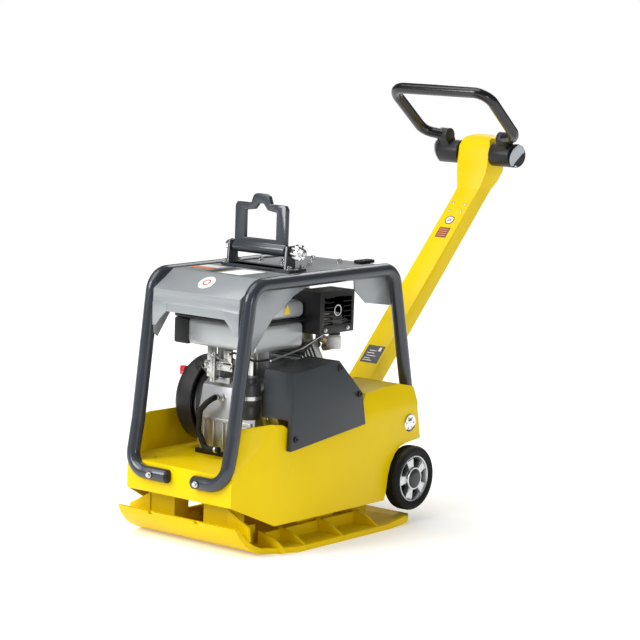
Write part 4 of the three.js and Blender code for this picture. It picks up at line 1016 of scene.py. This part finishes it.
TYRE_MIDDLE = 0.219
side_wall = [(0.062, 0.201), (0.066, 0.1985), (0.070, 0.1968), (0.0745, 0.1966), (0.0750, 0.1975),
             (0.0775, 0.1975), (0.0780, 0.1970), (0.0815, 0.1990), (0.0845, 0.2030), (0.0860, 0.2080)]
tread = list(side_wall)
for groove in (0.2120, 0.2190, 0.2260):
    tread += [(0.0860, groove - 0.0014), (0.0838, groove - 0.0009), (0.0838, groove + 0.0009),
              (0.0860, groove + 0.0014)]
tread += [(r, 2 * TYRE_MIDDLE - x) for r, x in reversed(side_wall)]
tread.append((0.062, 0.201))
barrel = [(0.0555, 0.2030), (0.0605, 0.2010), (0.0616, 0.2022), (0.0616, 0.2370), (0.0600, 0.2378),
          (0.0575, 0.2366), (0.0545, 0.2300), (0.0532, 0.2225), (0.0535, 0.2050), (0.0555, 0.2030)]
hub_profile = [(0.0104, 0.1985), (0.0200, 0.1985), (0.0215, 0.2000), (0.0235, 0.2150), (0.0262, 0.2185),
               (0.0262, 0.2290), (0.0240, 0.2330), (0.0215, 0.2350), (0.0205, 0.2395), (0.0104, 0.2400),
               (0.0104, 0.1985)]
hub_cap = [(0, 0.2436), (0.0130, 0.2434), (0.0205, 0.2426), (0.0235, 0.2412), (0.0246, 0.2396),
           (0.0246, 0.2370), (0, 0.2370)]
cap_seat = [(0.0252, 0.2340), (0.0252, 0.2388), (0.0262, 0.2396), (0.0290, 0.2396), (0.0302, 0.2386),
            (0.0302, 0.2340), (0.0252, 0.2340)]
back_disc = [(0.0250, 0.2150), (0.0536, 0.2150), (0.0536, 0.2168), (0.0250, 0.2168), (0.0250, 0.2150)]
for side, label in ((1, "right"), (-1, "left")):
    body = "wheel_" + label
    centre = (0, WHEEL_Y, WHEEL_Z)
    fitted(turned(wheel_profile(tread, side), centre, "X", 72), "tyre_tread_" + label, body, tyre_rubber,
           28, stands_for=["tyre_" + label])
    parts = [turned(wheel_profile(barrel, side), centre, "X", 64),
             turned(wheel_profile(hub_profile, side), centre, "X", 48),
             turned(wheel_profile(cap_seat, side), centre, "X", 56)]
    for k in range(5):
        near, far = sorted((side * 0.2180, side * 0.2356))
        spoke = applied(block((near, -0.0150, 0.022), (far, 0.0150, 0.056), 0))
        for corner in spoke.data.vertices:
            if corner.co.z < 0.03:
                corner.co.y *= 0.6
        rounded(spoke, 0.003, 3)
        spoke.rotation_euler = (math.pi / 2 + 2 * math.pi * k / 5, 0, 0)
        spoke.location = centre
        parts.append(applied(spoke))
    fitted(joined(parts), "rim_" + label, body, rim_alloy, 35, stands_for=["wheel_rim_" + label])
    fitted(turned(wheel_profile(back_disc, side), centre, "X", 56), "rim_back_" + label, body, tyre_rubber)
    fitted(turned(wheel_profile(hub_cap, side), centre, "X", 48), "hub_cap_" + label, body, dark_plastic)

# ---------------------------------------------------------------- drawbar pole
# A folded and welded box section in yellow, thicker at its foot, with a deep-drawn head that holds the
# handle's shaft. Four blind rivets and films mark its upper face, and a rating plate its foot.
fitted(bench_copy("pole", 0.0045, 4, 15), "pole_box", "pole", sheet_yellow,
       stands_for=["pole"])
for node in ("pole_bush_right", "pole_bush_left"):
    fitted(bench_copy(node, 0.0012), node.replace("bush", "bushing"), "pole", black_rubber,
           stands_for=[node])
POLE_TURN = math.radians(46.1)
pole_foot = Vector((0, 0.330, 0.260))
along = Vector((0, math.cos(POLE_TURN), math.sin(POLE_TURN)))
pole_normal = Vector((0, -math.sin(POLE_TURN), math.cos(POLE_TURN)))


def on_pole(distance, across, lift=0.0):
    """A point on the pole's upper face: distance up the pole from its hinge, and across it."""
    rise = 0.0170 + 0.00125 * distance  # the face stands 1 mm further out at the pole's head than at its foot
    return pole_foot + along * distance + pole_normal * (rise + lift) + Vector((across, 0, 0))


rivets = []
for distance in (0.717, 0.744):
    for across in (-0.0205, 0.0205):
        head = turned([(0, 0.0022), (0.0022, 0.0020), (0.0038, 0.0008), (0.0040, -0.0004), (0, -0.0004)],
                      (0, 0, 0), "Z", 20)
        head.rotation_euler = pole_normal.to_track_quat("Z", "Y").to_euler()
        head.location = on_pole(distance, across)
        rivets.append(head)
fitted(joined(rivets), "pole_rivets", "pole", zinc)


def pole_film(name, low, high, look, lift=0.0003, thick=0.0005):
    """A film on the pole's upper face. Its corners are (distance up the pole, place across it)."""
    (near, left), (far, right) = low, high
    corners = [on_pole(distance, across, lift)
               for distance, across in ((near, left), (near, right), (far, right), (far, left))]
    film = built(name, [*corners, *(c + pole_normal * thick for c in corners)], [],
                 [(0, 3, 2, 1), (4, 5, 6, 7), (0, 1, 5, 4), (1, 2, 6, 5), (2, 3, 7, 6), (3, 0, 4, 7)])
    bpy.ops.object.mode_set(mode="EDIT")
    bpy.ops.mesh.select_all(action="SELECT")
    bpy.ops.mesh.normals_make_consistent(inside=False)
    bpy.ops.object.mode_set(mode="OBJECT")
    return fitted(film, name, "pole", look)


brown_film = printed("brown_film", (0.20, 0.035, 0.012))
black_film = printed("black_film", (0.012, 0.012, 0.014), 0.25)
pole_disc = disc_on(on_pole(0.682, 0.000, 0.0002), pole_normal, 0.0145, 0.0006)
fitted(pole_disc, "pole_disc", "pole", white_film)
pole_ring = disc_on(on_pole(0.682, 0.000, 0.0006), pole_normal, 0.0148, 0.0005, 0.0122)
fitted(pole_ring, "pole_disc_ring", "pole", brown_film)
pole_film("pole_disc_bar_1", (0.678, -0.008), (0.680, 0.008), brown_film, 0.0009)
pole_film("pole_disc_bar_2", (0.683, -0.006), (0.686, 0.006), brown_film, 0.0009)
pole_film("pole_label", (0.618, -0.018), (0.654, 0.018), brown_film)
for k in range(4):
    start = 0.623 + k * 0.0075
    pole_film("pole_label_line_%d" % (k + 1), (start, -0.015), (start + 0.0025, 0.015), orange_film,
              0.0009, 0.0003)
pole_film("rating_plate", (0.166, -0.027), (0.224, 0.030), black_film)
for k, (start, left, right) in enumerate(((0.172, -0.020, 0.008), (0.179, -0.020, 0.000),
                                          (0.188, -0.016, 0.014), (0.197, -0.020, 0.006),
                                          (0.205, -0.014, 0.010))):
    pole_film("rating_plate_line_%d" % (k + 1), (start, left), (start + 0.0022, right), white_film,
              0.0009, 0.0003)
pole_film("rating_plate_patch", (0.206, 0.014), (0.219, 0.022), white_film, 0.0009, 0.0003)

# ---------------------------------------------------------------- handle
# A bent steel loop, dipped in glossy black, pushed into the sleeves of two moulded hubs that turn on a shaft
# through the pole's head. Grey caps close the hubs' ends.
gloss_black = coated("gloss_black", (0.008, 0.008, 0.010), 0.2, coat=0.3, glare=0.4, grain=600, wave=30,
                     bump=0.03, drift=0.1, dust=0)
cap_grey = coated("cap_grey", (0.40, 0.43, 0.46), 0.4, grain=900, wave=60, bump=0.08, drift=0.05, dust=0)
half_loop = [(0.092, 0.896, 0.995), (0.160, 0.867, 1.006), (0.164, 0.709, 1.130)]
whole_loop = half_loop + [(-x, y, z) for x, y, z in reversed(half_loop)]
fitted(bent_tube(whole_loop, 0.0155, 0.044, 14, 12), "grip_loop", "handle", gloss_black, 45,
       stands_for=["handle_loop"])
HUB_Y, HUB_Z = 0.918, 0.950
for side, label in ((1, "right"), (-1, "left")):
    node = "handle_hub_" + label
    fitted(bench_copy(node, 0.0022, 3), "hub_" + label, "handle", satin_black,
           stands_for=[node])
    collar = turned([(r, side * a) for r, a in ((0.0158, 0.1142), (0.0198, 0.1142), (0.0212, 0.1158),
                                                (0.0212, 0.1188), (0.0198, 0.1204), (0.0158, 0.1204),
                                                (0.0158, 0.1142))],
                    (0, 0.896, 0.995), "X", 40)
    fitted(collar, "loop_collar_" + label, "handle", black_rubber, 45)
    cap = turned([(r, side * a) for r, a in ((0, 0.0), (0.0318, 0.0), (0.0328, 0.0010), (0.0328, 0.0030),
                                             (0.0305, 0.0042), (0.0265, 0.0046), (0.0258, 0.0036),
                                             (0, 0.0036))],
                 (side * 0.1305, HUB_Y, HUB_Z), "X", 48)
    cap.rotation_euler = (0, side * math.radians(14), 0)
    fitted(cap, "hub_cap_grey_" + label, "handle", cap_grey, 45)
    screw_y, screw_z = HUB_Y - 0.008, HUB_Z - 0.0285
    screw = rod((side * 0.133, screw_y, screw_z), (side * 0.1375, screw_y, screw_z), 0.0028, 20, 0.0004)
    fitted(screw, "hub_screw_" + label, "handle", zinc)
